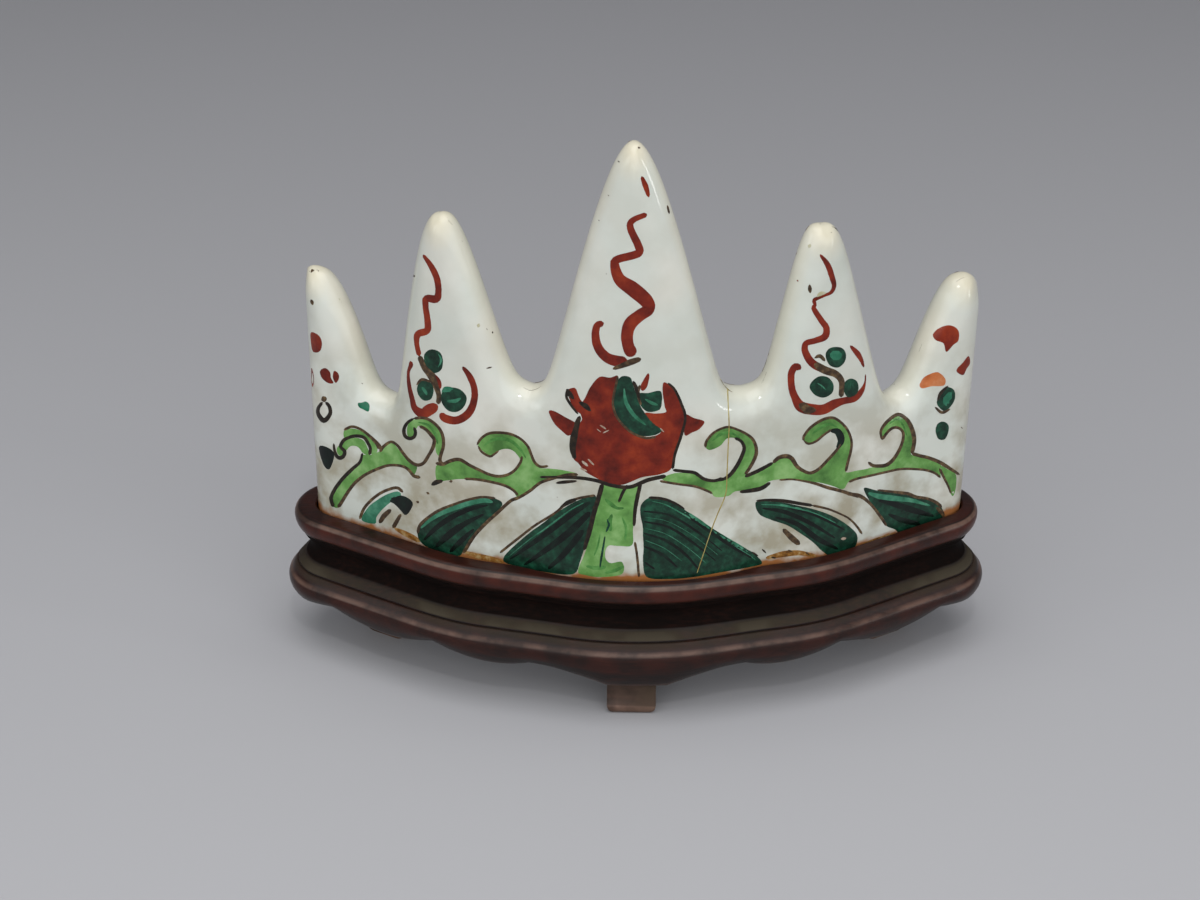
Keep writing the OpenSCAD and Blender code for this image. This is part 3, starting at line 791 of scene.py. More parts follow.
def stroke_shape(points, width):
    """Pixels, heights as shares of the lift, and faces of one brush stroke."""
    points = np.asarray(points, float)
    widths = np.broadcast_to(np.interp(np.linspace(0, 1, len(points)),
                                       np.linspace(0, 1, np.size(width)), np.atleast_1d(width)),
                             (len(points),))
    track = spline(np.column_stack([points, widths]))
    line, half = track[:, :2], np.maximum(THIN_PX, track[:, 2] / 2)
    way = np.concatenate([[0], np.cumsum(np.linalg.norm(np.diff(line, axis=0), axis=1))])
    to_end = np.minimum(way, way[-1] - way) / half
    round_end = 1 - (1 - np.clip(to_end, 0, 1)) ** 2
    half = half * np.where(to_end < 1, np.sqrt(TIP_SHARE ** 2 + (1 - TIP_SHARE ** 2) * round_end), 1)
    ahead = np.gradient(line, axis=0)
    ahead /= np.maximum(np.linalg.norm(ahead, axis=1, keepdims=True), 1e-9)
    across = np.stack([-ahead[:, 1], ahead[:, 0]], -1)
    rows = line[:, None] + across[:, None] * (half[:, None] * CROSS)[..., None]
    n = len(line)
    top = rows.reshape(-1, 2)
    under = rows[:, [0, -1]].reshape(-1, 2)
    ids = np.arange(n * len(CROSS)).reshape(n, -1)
    bed = ids.size + np.arange(n * 2).reshape(n, 2)
    ring = np.column_stack([ids, bed[:, 1], bed[:, 0], ids[:, 0]])
    faces = grid_faces(ring)
    faces.append(tuple(int(k) for k in ring[0, :-1]))
    faces.append(tuple(int(k) for k in ring[-1, -2::-1]))
    shares = np.concatenate([np.tile(CROSS_LIFT, n), np.full(2 * n, -1.0)])
    return np.vstack([top, under]), shares, faces


GRID_PX = 2.6
RIM_GAP_PX = 1.2
RIM_SHARE = 0.55
CDT_PX = 1e-4


def inside(points, loop, margin):
    """Which points lie inside a closed loop and at least margin from it."""
    a, b = loop, np.roll(loop, -1, axis=0)
    x, y = points[:, :1], points[:, 1:]
    cross = ((a[:, 1] > y) != (b[:, 1] > y))
    rise = np.where(b[:, 1] == a[:, 1], 1, b[:, 1] - a[:, 1])
    at = a[:, 0] + (y - a[:, 1]) * (b[:, 0] - a[:, 0]) / rise
    within = (cross & (x < at)).sum(1) % 2 == 1
    clear = np.linalg.norm(points[:, None] - loop, axis=-1).min(1) > margin
    return points[within & clear]


def patch_shape(outline):
    """Pixels, heights as shares of the lift, and faces of one filled area."""
    loop = spline(outline, closed=True)
    low, high = loop.min(0), loop.max(0)
    across, down = (np.arange(low[k], high[k], GRID_PX) for k in (0, 1))
    grid = np.stack(np.meshgrid(across, down), -1).reshape(-1, 2)
    points = np.vstack([loop, inside(grid, loop, RIM_GAP_PX)])
    found, _, triangles, *_ = geometry.delaunay_2d_cdt(
        [Vector(p) for p in points], [], [list(range(len(loop)))], 1, CDT_PX)
    found = np.array([tuple(p) for p in found])
    n = len(found)
    edges = [edge for f in triangles for edge in zip(f, f[1:] + f[:1])]
    known = set(edges)
    rim = [(a, b) for a, b in edges if (b, a) not in known]
    on_rim = np.zeros(n, bool)
    on_rim[[a for a, _ in rim]] = True
    faces = [tuple(f) for f in triangles]
    faces += [tuple(k + n for k in reversed(f)) for f in triangles]
    faces += [(b, a, a + n, b + n) for a, b in rim]
    shares = np.concatenate([np.where(on_rim, RIM_SHARE, 1.0), np.full(n, -1.0)])
    return np.vstack([found, found]), shares, faces


# Lift in millimetres of each paint, and of later marks of the same paint over earlier ones
PAINTS = {
    "stain": 0.02, "burnt": 0.022, "green_light": 0.023, "leaf": 0.03, "orange": 0.026,
    "red": 0.028, "green_dark": 0.033, "teal": 0.036, "green_mid": 0.038, "green_black": 0.041,
    "outline": 0.045, "black": 0.049, "worn": 0.05, "crack": 0.055,
}
LAYER_MM, LAYERS = 0.0007, 7

# Filled areas: paint and outline pixels, left to right
PATCHES = [
    # Left end peak
    ("teal", (
        (358, 403), (362, 402.5), (366, 401.5), (369.5, 405), (368.5, 411.5), (363.5, 409.5),
        (359, 407))),
    ("green_black", ((319, 447), (326.6, 447), (334, 453), (332.5, 463), (328.7, 469.4), (323.3, 464))),
    ("red", ((310.5, 333.5), (315, 333), (320, 337), (322, 344), (320, 351), (315, 352.5), (312, 349))),
    ("red", ((320, 371), (325, 368), (330, 372), (331, 378), (333.5, 383), (328, 383), (322, 378))),
    ("red", ((334, 371), (338, 373), (339, 378), (336, 383), (333, 378))),
    ("red", ((311.5, 368), (313.5, 374), (314, 382), (312.5, 387), (311.5, 380))),
    # Inner left peak: three beads of dark green
    ("green_dark", (
        (424, 356), (428, 350.5), (434, 349.5), (440.5, 353), (443, 361), (441, 370), (433, 373),
        (426, 366))),
    ("green_dark", (
        (417, 388), (420, 382), (427, 380.5), (432.5, 385), (433.5, 392), (431, 399), (424, 400.5),
        (418.5, 395))),
    ("green_dark", (
        (441, 396), (445, 388.5), (453, 387.5), (461, 390), (466.5, 397), (465, 405), (458, 411.5),
        (449, 411), (442.5, 404))),
    ("teal", ((442, 393), (444, 387), (451, 387), (455, 390), (449, 393))),
    # Inner right peak: three beads of dark green
    ("green_dark", (
        (825.5, 356), (828, 349.5), (834, 347), (842, 348), (846, 354), (844.5, 362), (838, 367.5),
        (829.5, 365))),
    ("green_dark", (
        (809.5, 387), (814, 379.5), (821, 376), (829, 378), (833.5, 385), (832, 393), (824, 397.5),
        (815, 395))),
    ("green_dark", (
        (843.5, 390), (845, 382), (851, 378.5), (857, 381.5), (858.5, 389), (855, 396), (848, 397.5))),
    ("teal", ((828, 355), (831, 350), (838, 349), (843, 353), (841, 360), (833, 361))),
    ("teal", ((848, 387), (849, 381), (854, 381), (857, 387), (854, 393))),
    # Right end peak
    ("green_dark", (
        (937, 404), (939, 396), (944, 389), (948, 387), (954, 390), (955, 398), (951, 406), (944, 411))),
    ("teal", ((941, 402), (944, 394), (949, 390), (953, 393), (952, 401), (946, 407))),
    ("green_dark", (
        (935.5, 431), (937.5, 424), (943, 421.5), (948, 424.5), (948.5, 431), (945, 439), (938.5, 439))),
    ("orange", (
        (919.6, 385), (924.5, 377), (935.7, 372.2), (941.4, 374.3), (945.6, 380), (943.5, 385.6),
        (931.5, 386.3), (922.4, 388.4))),
    ("red", (
        (932.9, 334.4), (939.3, 328), (948.4, 325.2), (955.4, 327.3), (958.9, 332.3), (958.2, 340.7),
        (953.3, 344.9), (946.3, 351.9), (943.5, 343.5), (935.7, 340))),
    ("red", (
        (968.5, 356), (970, 363), (966.6, 368.7), (963.1, 375), (957, 372.2), (957, 368.7),
        (962.4, 363.1))),
    # Flaming pearl
    ("red", (
        (617.9, 376), (609.9, 377.6), (599.6, 376.9), (590.8, 386.4), (584.9, 398), (579, 408.4),
        (582, 418.7), (579, 424), (574.7, 433.3), (570.3, 446.5), (573.2, 458.2), (579, 464),
        (584.9, 471.4), (598, 478.8), (608.4, 483.2), (623, 484.6), (642, 477.3), (659.7, 474.4),
        (671.4, 468.5), (674.4, 453.8), (680.2, 436.2), (684.6, 418.7), (680.2, 404), (674.4, 390.8),
        (668.5, 384.2), (663.4, 382.7), (662.6, 392.3), (664.8, 406.9), (666, 412), (656, 413.5),
        (645, 413), (650, 421), (661, 431), (653.8, 436.2), (642, 436.2), (631.8, 431.8), (621.6, 423),
        (614.3, 414.3), (612.8, 402.5), (615, 389.3))),
    ("green_dark", (
        (616, 388), (618, 380), (623, 376), (630.4, 377.6), (633, 385), (637, 396), (641, 407),
        (648, 417), (655, 424.5), (662, 430), (655, 435), (642, 436), (632, 431.5), (621.6, 423),
        (614.3, 414), (613, 402.5))),
    ("green_dark", (
        (639, 393.7), (648, 393), (661, 391.5), (661, 407), (655.3, 411.3), (646.5, 411.3),
        (639.9, 404))),
    ("red", ((640.5, 386), (644, 379), (648, 373.2), (649.4, 377), (646.5, 387.9), (642, 390.8))),
    ("red", ((684.6, 415), (694, 418), (704.4, 421.6), (699.3, 429), (692, 432.5), (684.6, 434.8))),
    ("red", (
        (548.8, 411.5), (554, 411), (565.5, 417.2), (575.8, 423), (577, 428), (569, 435.6), (562, 431),
        (554, 423))),
    ("red", (
        (567.3, 391), (572, 388), (576, 389), (580.5, 399.6), (588.5, 408), (586, 412), (580, 413.5),
        (574.7, 408.4), (570.3, 401))),
    # Waves, light green
    ("green_light", (
        (344, 431), (352, 428.5), (361, 431), (369, 437.5), (376.5, 446), (377, 452), (372, 455),
        (367, 443), (360, 437), (352, 436.5), (345, 439))),
    ("green_light", (
        (343.4, 442), (349, 439), (356.4, 437.8), (363, 440), (367, 446), (369, 455), (363, 453),
        (358, 447), (351, 446), (346, 451), (342, 456), (338, 454), (337, 448))),
    ("green_light", (
        (362.4, 455), (370, 455), (380, 451), (391, 443), (400, 451), (409, 461.5), (417, 466),
        (414, 475), (409.5, 470.5), (404, 467), (395.4, 465.6), (386.8, 466.2), (376, 470),
        (365, 475.4), (355.3, 483), (347.7, 492.8), (342.3, 501.5), (338, 507.6), (333, 506),
        (331.5, 498), (335.8, 488), (343.4, 478), (352, 469.6), (360, 461.8))),
    ("green_light", (
        (414, 419.5), (424, 419), (432, 422.5), (439, 430), (442, 438), (442, 447), (440, 456),
        (436, 452), (435, 440), (432, 434.8), (426, 428.5), (419.3, 425.5), (415.5, 430), (413, 436),
        (408, 436), (407, 429), (409, 423))),
    ("green_light", (
        (478, 445), (482, 438.5), (490, 434), (501, 433.6), (511.5, 435.3), (520.7, 440), (527, 447),
        (531, 455), (534, 463), (540, 468), (549, 468.5), (562, 470), (577, 473.5), (567.8, 475),
        (554, 478.6), (540.2, 483.2), (530, 491.2), (518.4, 497.4), (512, 489.6), (503, 485),
        (489.7, 481.8), (476, 479.8), (460, 479), (446, 480.5), (437, 481), (436, 466), (442.6, 465.5),
        (450.7, 462), (459.8, 461), (470, 466.5), (479.4, 471), (489.7, 475.6), (498.9, 477.3),
        (508, 475.6), (515, 471), (520.7, 463), (518.4, 456.3), (512.7, 450.5), (505.8, 448.8),
        (498.9, 450.5), (494.3, 454), (489.7, 455), (483, 451))),
    ("green_light", (
        (662, 479), (673, 473.5), (684.6, 473), (694.9, 474.5), (703.7, 480), (714, 482), (723.2, 480),
        (731, 475), (738, 466), (743, 455.6), (744.6, 447.4), (741, 441), (734.6, 438), (727, 438.5),
        (721, 445), (715, 448.5), (709, 450), (705.8, 447), (707, 440.5), (713, 434), (720.6, 429.5),
        (728.3, 428), (737, 430.4), (747, 435.4), (753, 441.5), (755.6, 451), (753, 460), (748.5, 469),
        (746, 475), (753.8, 473.6), (764, 468.6), (772.9, 463.6), (779.3, 458.6), (787, 457.4),
        (791.5, 460), (796.5, 467), (804.8, 472.6), (811, 474), (819, 470), (827.8, 461), (836.7, 451),
        (840.5, 443.6), (838, 434), (832, 429.5), (824, 434.6), (816, 441), (808.6, 443),
        (804.4, 440.6), (804, 437), (809, 430), (816.6, 424), (825, 419.5), (834, 419), (841.5, 424),
        (847.3, 431), (850.4, 441), (850, 451), (847.5, 461), (845.4, 472), (857, 470.5), (866, 469),
        (874, 467), (882, 467), (889, 464.6), (895, 458.6), (900.5, 450), (903.4, 441), (903.6, 432.8),
        (899.4, 427.6), (893.5, 427), (887, 431.7), (882, 438.8), (881.4, 431.7), (885, 425),
        (890.4, 419.6), (898, 415.4), (904.6, 418.6), (909, 424.4), (912, 433), (913.2, 442),
        (911, 454), (920, 456.6), (929, 459), (940.5, 463.7), (940, 471), (940.5, 477), (934.8, 472.4),
        (925.6, 469.4), (914, 468.4), (900.4, 468.4), (886.6, 471.2), (871.7, 474.7), (856.7, 478.2),
        (848.7, 481.5), (843, 489), (831.5, 485.6), (820, 482.7), (804.8, 480.6), (792, 478.7),
        (779.3, 479.4), (769, 481.4), (758.9, 487.6), (744.8, 490.2), (734.6, 491.6), (728.3, 495.9),
        (715.5, 497), (709, 491), (694.9, 486), (677.3, 483.5))),
    ("green_light", (
        (941, 466), (948, 469.5), (955.5, 474), (956, 486), (953, 496), (949.5, 491), (946, 483),
        (942.5, 474))),
    # Tree trunk under the pearl
    ("green_light", (
        (603, 485), (612, 484), (627, 485.5), (639.5, 484), (636.6, 499.3), (634.4, 514), (633, 529),
        (632, 545), (619, 546), (608, 546), (605, 556), (610, 563), (622, 562), (622, 574), (600, 577),
        (585, 575), (578, 571), (585, 553), (591, 534), (595, 516), (599, 500))),
    # Rock fans above the rim, dark green
    ("green_mid", (
        (361.8, 520), (367.2, 508.5), (375.9, 500.9), (386.8, 494.4), (397.6, 491.4), (400.9, 495.4),
        (392.2, 500.9), (382.4, 509.5), (376.5, 517), (375, 523.6))),
    ("green_black", (
        (386.8, 499.8), (394.4, 495.4), (405.2, 496.5), (412.8, 503), (409.5, 511.7), (405.2, 515),
        (400.9, 510.6), (394.4, 504))),
    ("green_dark", (
        (417.7, 536), (420.4, 526), (430, 518), (441.5, 511), (455, 505), (468, 500.5), (482, 497.6),
        (495, 498.5), (502.5, 504), (494.3, 513.7), (481.7, 525), (472.5, 536.6), (464, 550),
        (458, 556), (440, 552), (424, 545))),
    ("green_dark", (
        (503.5, 558), (510.4, 549.3), (527.6, 534.3), (540.2, 525), (554, 514.8), (567.8, 505.6),
        (579.3, 499.9), (595, 495.3), (594.2, 506.8), (590.7, 524), (587.3, 537.8), (580.4, 560.7),
        (573, 574), (545, 572), (521.8, 567), (506, 563))),
    ("green_dark", (
        (648.7, 498), (641, 505), (640.5, 515), (642.6, 526), (643, 536), (643.6, 549), (643, 561),
        (647, 577), (670, 579), (690, 577.5), (703, 575.5), (728, 571), (750, 567), (762, 563),
        (753.8, 553.3), (747.4, 549.4), (733.4, 541.8), (715.5, 530.3), (702.8, 522.7), (690, 513.7),
        (680, 506.5), (670, 501.5), (660, 498.8))),
    ("green_dark", (
        (756, 502), (770, 501.5), (785, 503), (800, 506), (813, 509), (828, 514), (840, 520),
        (850, 527), (857, 535), (856, 545), (848, 552), (832, 556), (822.7, 551.5), (812.4, 541.8),
        (799.7, 532.9), (787, 525.2), (771.6, 520), (758.9, 513.7))),
    ("green_dark", (
        (864, 488), (877, 490.5), (893.5, 492.5), (907.3, 494.5), (916.4, 497.6), (925.6, 499),
        (934.8, 502.5), (941.7, 508), (943.4, 516), (935, 523), (918, 531), (902, 537), (895.8, 530),
        (886.6, 526), (884, 519), (877.4, 511), (869.4, 500.6))),
]

# Strokes: paint, width in pixels at even shares of the way, and pixels
STROKES = [
    # Lightning-like flames down the peaks
    ("red", (3, 5.5, 3), ((641.6, 176.4), (645.5, 186), (648.9, 197.1))),
    ("outline", (2, 4, 2), ((667.3, 205.4), (669.3, 213.7))),
    ("red", (5, 6, 7, 8, 8, 8, 8, 9, 12, 15, 14, 12, 12, 13, 12, 12, 13), (
        (646.9, 214.2), (632.8, 220.3), (630.3, 227.8), (637.8, 244.4), (639.5, 251.8), (633.7, 255.1),
        (617.9, 259.3), (614.6, 264.3), (619.6, 279.2), (632.8, 289.1), (646.1, 300.7), (648.6, 309),
        (639.5, 315.6), (630.3, 323.9), (627, 335.5), (628.7, 347.1), (633.5, 356))),
    ("red", (6, 7, 8, 9, 10, 11, 9), (
        (603.8, 323.1), (597.2, 325.6), (595.5, 335.5), (598, 347.1), (606.3, 357.1), (617.9, 361.2),
        (627, 360.4))),
    ("outline", (3, 6, 6, 4), ((612.9, 369), (624, 364.5), (634, 361), (641, 358.7))),
    ("red", (3, 5.7, 6.4, 6.4, 8, 7, 6, 6.4, 7, 7, 5, 5), (
        (423.1, 254.8), (431.4, 266.6), (437.1, 279.3), (438.4, 292.1), (436, 299), (426.5, 298.5),
        (425.6, 306.1), (427.6, 321.4), (427, 330.5), (418, 334.2), (416.7, 343.1), (419.3, 355.9))),
    ("outline", (5, 6, 8, 5, 5), (
        (419.3, 355.9), (424.4, 367.3), (431.4, 375.6), (438.4, 392.9), (438.4, 404))),
    ("red", (5, 8, 6), ((431.4, 374), (437, 382), (438.5, 390))),
    ("red", (2.5, 5.6, 5.6, 4.5, 3.5, 3, 4, 3.5, 5, 6, 6.5, 7, 6, 6, 7, 8, 8), (
        (820, 254.4), (827.7, 264.9), (832.6, 278.9), (834, 286), (831.2, 292.3), (823.5, 295.8),
        (814.4, 300), (815.1, 304.9), (813.7, 308.4), (820.7, 319.6), (826.3, 328), (824.9, 336.5),
        (815.1, 340.7), (806, 343.5), (805.3, 351.9), (812.3, 363.1), (824.9, 370.1))),
    ("outline", (7, 8, 7, 6, 5), (
        (814, 364), (824.9, 370.1), (836.1, 374.3), (841.7, 382), (841, 397))),
    ("outline", (2, 4, 2), ((809.5, 284.5), (809.9, 288.8), (810.2, 293))),
    # Lights and rims of the beads
    ("green_mid", (2, 3, 2), ((438.5, 354), (441, 360), (438.5, 367))),
    ("green_mid", (3, 5, 3), ((422, 387), (425, 391), (427, 395))),
    ("green_mid", (3, 6, 3), ((447, 401), (455, 401), (461, 398))),
    ("green_mid", (3, 5, 3), ((817, 383), (822, 386), (826, 390))),
    ("outline", (2, 3, 2), ((416.5, 385), (422, 379.5), (431, 382))),
    ("outline", (2, 4, 3), ((814.5, 358), (820, 356), (825, 361))),
    # Red claws round the beads
    ("red", (2.5, 4.5, 3, 4, 5, 6.4, 10, 11.5, 8), (
        (410.3, 361), (411, 364.8), (408.4, 372.4), (409.1, 385.2), (412.2, 399.2), (414.8, 408.2),
        (422.4, 413.3), (430.1, 409.4), (437.8, 405.6))),
    ("red", (3, 6, 6.4, 7, 8, 8, 8, 6), (
        (462.6, 366.7), (469.6, 376.3), (474.1, 387.8), (474.1, 400.5), (468.4, 413.3), (456.9, 420.3),
        (445.4, 418.4), (440.3, 413.3))),
    ("red", (7, 7, 7, 7, 8, 11, 11, 10, 9, 7, 7, 5, 2, 1.2), (
        (801, 368.7), (795.4, 366.6), (791.2, 374.3), (791.9, 388.4), (795.4, 398.2), (801, 406.6),
        (812.3, 409.4), (823.5, 409.4), (834.7, 403.8), (843.1, 401), (854.4, 398.2), (861.4, 391.2),
        (864.9, 382.8), (865.6, 374.3))),
    ("red", (2.5, 5.6, 4, 2), ((850.2, 345.6), (857.2, 353.3), (861.4, 360.3), (863.8, 367.3))),
    ("outline", (8, 10, 6), ((799, 404), (807, 409), (816, 410))),
    ("red", 3.5, ((797, 280), (798.2, 281.4))),
    # Stains, pits and dark marks on the glaze, and painted shade along three saddle edges
    ("stain", 4, ((339, 298), (341, 299))),
    ("stain", 3, ((345, 297), (346.4, 298.4))),
    ("stain", 5, ((477, 325), (480, 326))),
    ("stain", 5, ((808, 245.5), (811, 246.5))),
    ("stain", (2, 5, 2), ((817, 297), (821, 294), (826, 293))),
    # Thin dark lines along the saddle edges: painted shade
    ("outline", (1, 1.8, 1), ((527, 380.5), (534, 382), (541, 381))),
    ("outline", (1, 1.8, 1), ((723, 377), (726, 380), (730, 382.5))),
    ("outline", (1, 1.8, 1), ((760, 379), (764, 374.5), (766, 370))),
    ("outline", (3, 3.4), ((618, 161), (619.4, 162))),
    ("outline", 2, ((608, 195), (609, 196))),
    ("outline", 2, ((598.5, 220), (599.5, 221))),
    ("outline", 2.6, ((638, 147), (640, 148))),
    ("outline", 2, ((413.8, 275), (414.6, 277))),
    ("outline", (2, 3.4, 2), ((311, 299.5), (312, 302), (313, 305))),
    ("outline", 2.2, ((361.6, 383), (362.8, 384))),
    ("outline", (1.5, 2, 1.5), ((486.5, 368.4), (492, 367))),
    ("outline", 1.8, ((486.6, 328.4), (487.2, 330))),
    ("outline", 1.8, ((492.4, 331.4), (492.8, 333.4))),
    ("black", (1.5, 2.6, 2), ((829, 223), (834, 225), (838, 228.4))),
    ("outline", (1.5, 2.4, 1.5), ((915.8, 341), (915.4, 345), (914.4, 348.6))),
    ("outline", (1.2, 2, 1.2), ((950, 275.5), (957, 275), (963, 276.5))),
    ("outline", (1.2, 3, 1.2), ((311, 272.5), (313, 269.6), (316, 268))),
    ("outline", (1.2, 2.6, 1.2), ((449, 219), (452, 220), (454, 222))),
    ("outline", 2.2, ((462.6, 239), (463.2, 240))),
    # Ring on the left end
    ("outline", (4, 6, 4), ((322.6, 396.4), (324, 399), (324.6, 402))),
    ("black", (3, 3.6, 4, 5, 4, 3.6, 3), (
        (322.5, 402), (318.4, 408), (318.4, 414), (324, 420.6), (330, 414), (329.6, 407), (325.6, 402))),
    # Left wave
    ("outline", (3, 2.5, 3, 6), (
        (344, 430), (352, 426.6), (360.7, 429.3), (369.4, 435.8), (377.5, 444), (380, 449))),
    ("black", (2, 4, 4, 3.5, 3.5, 3.5), (
        (333.6, 443.4), (334.7, 451), (336.9, 456.4), (340.7, 458), (343.9, 455.3), (344.5, 451),
        (340.7, 446.6), (343.4, 440.7), (348.8, 437.4), (356.4, 435.8), (364, 437.4), (368.3, 443.4),
        (370.5, 448.8), (369.4, 454.8))),
    ("black", (2.5, 4, 4, 4), (
        (362.4, 453), (360.2, 461.8), (352, 469.4), (343.4, 478), (335.8, 487.9), (331.5, 496.5),
        (331.5, 500.9), (333.6, 506.8))),
    ("outline", (4, 3.4, 3, 3.4), (
        (338, 507.4), (342.3, 500.9), (347.7, 492.2), (355.3, 482.4), (365, 474.8), (376, 469.4),
        (386.8, 465.6), (395.4, 465), (404, 466.7), (409.5, 470.5), (413.9, 475.9), (420.4, 477.5))),
    ("outline", (3.6, 2.6, 3.4, 3.4, 4, 3), (
        (380, 452), (383.5, 446.6), (391, 441.8), (397.6, 445.6), (403, 453), (409.5, 460.7),
        (417, 465), (423.6, 463), (428, 456.4), (432.9, 447.7), (434.5, 440), (431.8, 435.8),
        (425.8, 429.3), (419.3, 426))),
    ("black", (2.5, 3.6, 3.6, 3.6, 3), (
        (413.9, 418.4), (407.4, 422.8), (404, 429.3), (405, 435.8), (409.5, 438.5), (413.9, 436.9),
        (415.5, 432.5), (413.9, 427))),
    ("outline", (3, 3, 3.6, 3.6), (
        (413.9, 418.4), (423.6, 417.9), (432.3, 421.7), (439.9, 429.3), (443.2, 438), (443.2, 446.6),
        (441, 454), (440, 460.7), (443, 465))),
    # Second wave
    ("outline", (3, 4, 3, 3, 3, 3), (
        (435.7, 463), (442.6, 464.3), (450.7, 460.8), (459.8, 459.7), (470, 465.4), (479.4, 470),
        (489.7, 474.6), (498.9, 476.3), (508, 474.6), (515, 470), (520.7, 462), (522, 456))),
    ("outline", (2.5, 3, 2.5, 3, 2.5), (
        (477, 444.8), (481.7, 437.9), (489.7, 433.3), (501, 432.7), (511.5, 434.4), (520.7, 439),
        (527.6, 446), (531, 454), (534.5, 462), (540.2, 466.6), (548.3, 466))),
    ("outline", (2, 2.6, 2), (
        (478.2, 446), (481.7, 451.7), (489.7, 456.3), (494.3, 454), (498.9, 450.5))),
    ("leaf", (2, 5, 6, 5, 2), (
        (484, 446), (491, 440.5), (501, 438.5), (511, 441), (520, 449), (526, 458))),
    ("leaf", (2, 4, 4, 2), ((418, 422), (428, 425), (435, 433), (438, 444))),
    ("leaf", (2, 5, 4, 2), ((712, 441), (721, 434), (731, 433), (740, 438))),
    ("leaf", (2, 5, 4, 2), ((812, 434), (821, 427), (830, 424), (838, 428))),
    ("leaf", (2, 4, 4, 2), ((889, 424), (897, 419), (903, 425), (907, 436))),
    ("black", (3, 5, 3), ((431.5, 485), (437, 482), (443, 480.6))),
    ("outline", 3, ((449.4, 481.6), (452.4, 481))),
    ("outline", 2.6, ((426.6, 492.4), (429.4, 494))),
    ("outline", 3, ((416.4, 501.2), (419, 502.8))),
    ("outline", 3, (
        (464.4, 478.6), (475.9, 479.2), (489.7, 481.5), (503.5, 485), (512.7, 489.6), (518.4, 495.3))),
    ("outline", (4, 3.4, 3.4, 3), (
        (463.3, 553), (473.6, 536.6), (485, 524), (498.9, 511.4), (510.4, 501), (518.4, 497.6),
        (529.9, 490.7), (540.2, 482.7), (554, 478), (567.8, 474.6), (578, 474.6))),
    ("black", (2, 3.4, 2), ((556, 483), (565, 482), (577, 481))),
    # Fans on the left
    ("outline", (3, 3, 3), (
        (359.7, 519), (364, 508.5), (371.6, 499.8), (380.3, 493.3), (390, 489), (397.6, 487.9),
        (403, 492.2))),
    ("outline", (4, 5, 4), ((379.5, 523), (384, 516), (391, 509.5))),
    ("outline", (4, 4, 3), ((393, 528), (397, 521), (400.9, 514))),
    ("outline", (3.4, 3, 2.6), (
        (417.7, 533.4), (420.4, 524.7), (430.2, 516), (441, 509.5), (455.3, 504), (467.9, 499.9),
        (481.7, 497.2), (495.4, 498.2))),
    ("green_black", (4, 9, 8, 3), ((424, 540), (436, 528), (452, 517), (470, 509), (488, 505))),
    ("green_black", (5, 11, 8, 3), ((436, 547), (450, 534), (466, 523), (484, 514))),
    ("green_black", (6, 9, 4), ((450, 552), (462, 540), (474, 529))),
    ("outline", 2.6, (
        (500, 552.7), (521.8, 535.5), (535.6, 525), (554, 513.7), (565.5, 504.5), (577, 498.7),
        (595.3, 495.3))),
    ("black", (2, 4.5, 3), ((559.5, 508.5), (568, 502.5), (577, 499))),
    ("green_black", (3, 9, 10, 6), ((510, 559), (530, 545), (552, 529), (572, 514), (590, 502))),
    ("green_black", (4, 10, 12, 8), ((524, 565), (543, 552), (562, 538), (578, 524), (590, 512))),
    ("green_black", (5, 11, 9), ((548, 569), (562, 556), (574, 542), (583, 530))),
    ("green_mid", (3, 5, 6, 7, 7, 7, 4), (
        (421, 528), (432, 519), (444, 512.5), (458, 507), (471, 503), (484, 500.5), (493, 502))),
    ("green_mid", (2, 4, 5, 5, 4, 3), (
        (508, 557), (530, 539), (544, 529.5), (558, 519), (571, 509.5), (584, 502.5))),
    # Trunk
    ("black", (5, 5, 6, 4), ((602.5, 484), (598, 500), (594, 512), (589, 532), (584, 550))),
    ("black", (4, 4.5, 3), ((640.5, 483), (637.5, 496), (635, 510), (634, 526))),
    ("black", (3, 3.6, 3), ((627.4, 485), (623, 492), (618.7, 502.2))),
    ("leaf", (3, 6, 4, 3), ((605, 499), (611, 504), (617, 508), (624, 508))),
    ("leaf", (3, 8, 5), ((612, 514), (609, 524), (611, 531))),
    ("green_dark", (2, 4, 2), ((607, 519), (609, 525), (606, 532))),
    ("leaf", (2, 3, 2), ((600, 534), (598, 545), (594, 556))),
    ("green_dark", (2, 3, 3, 2), ((605, 536), (603, 548), (601, 560), (600, 568))),
    ("leaf", (3, 6, 4), ((586, 566), (596, 568), (606, 567))),
    ("leaf", (2, 4, 3), ((622, 517), (626, 528), (625, 540))),
    ("outline", 2.6, ((634.8, 541.8), (637, 555), (639, 577))),
    ("leaf", (3, 5, 3), ((605, 573), (616, 570), (624, 566))),
    # Where the red rubbed off
    ("worn", 1.8, ((600, 425), (606, 429))),
    ("worn", 1.4, ((603, 433), (609, 430))),
    ("worn", 1.2, ((597, 429), (601, 432))),
    ("worn", 3, ((582, 461), (588, 466))),
    ("worn", 2, ((588, 459), (594, 465))),
    ("worn", 2, ((580, 468), (587, 471))),
    ("worn", 1.6, ((660, 428), (664, 432))),
    # Dark drawing of the pearl
    ("black", (3, 6, 3), ((566.5, 389), (570, 394), (574, 399))),
    ("black", (3, 6, 3), ((579, 402), (585, 406), (591, 411))),
    ("green_mid", (2, 7, 7, 3), ((624, 388), (626, 402), (634, 415), (646, 425))),
    ("green_mid", (3, 6, 3), ((645, 399), (652, 403), (658, 405))),
    ("black", (3, 4, 3), ((633, 381), (637, 390), (640, 402))),
    ("black", (3, 6, 8, 7, 4), ((580, 416), (577, 424), (574.5, 436), (573, 448), (575, 459))),
    ("black", (3, 5, 3), ((583, 403), (586.5, 406), (590, 410))),
    ("black", (2, 2.6, 2.6, 2), ((567, 390), (566.5, 397), (571, 405), (578, 414))),
    ("black", (2.4, 3, 3), (
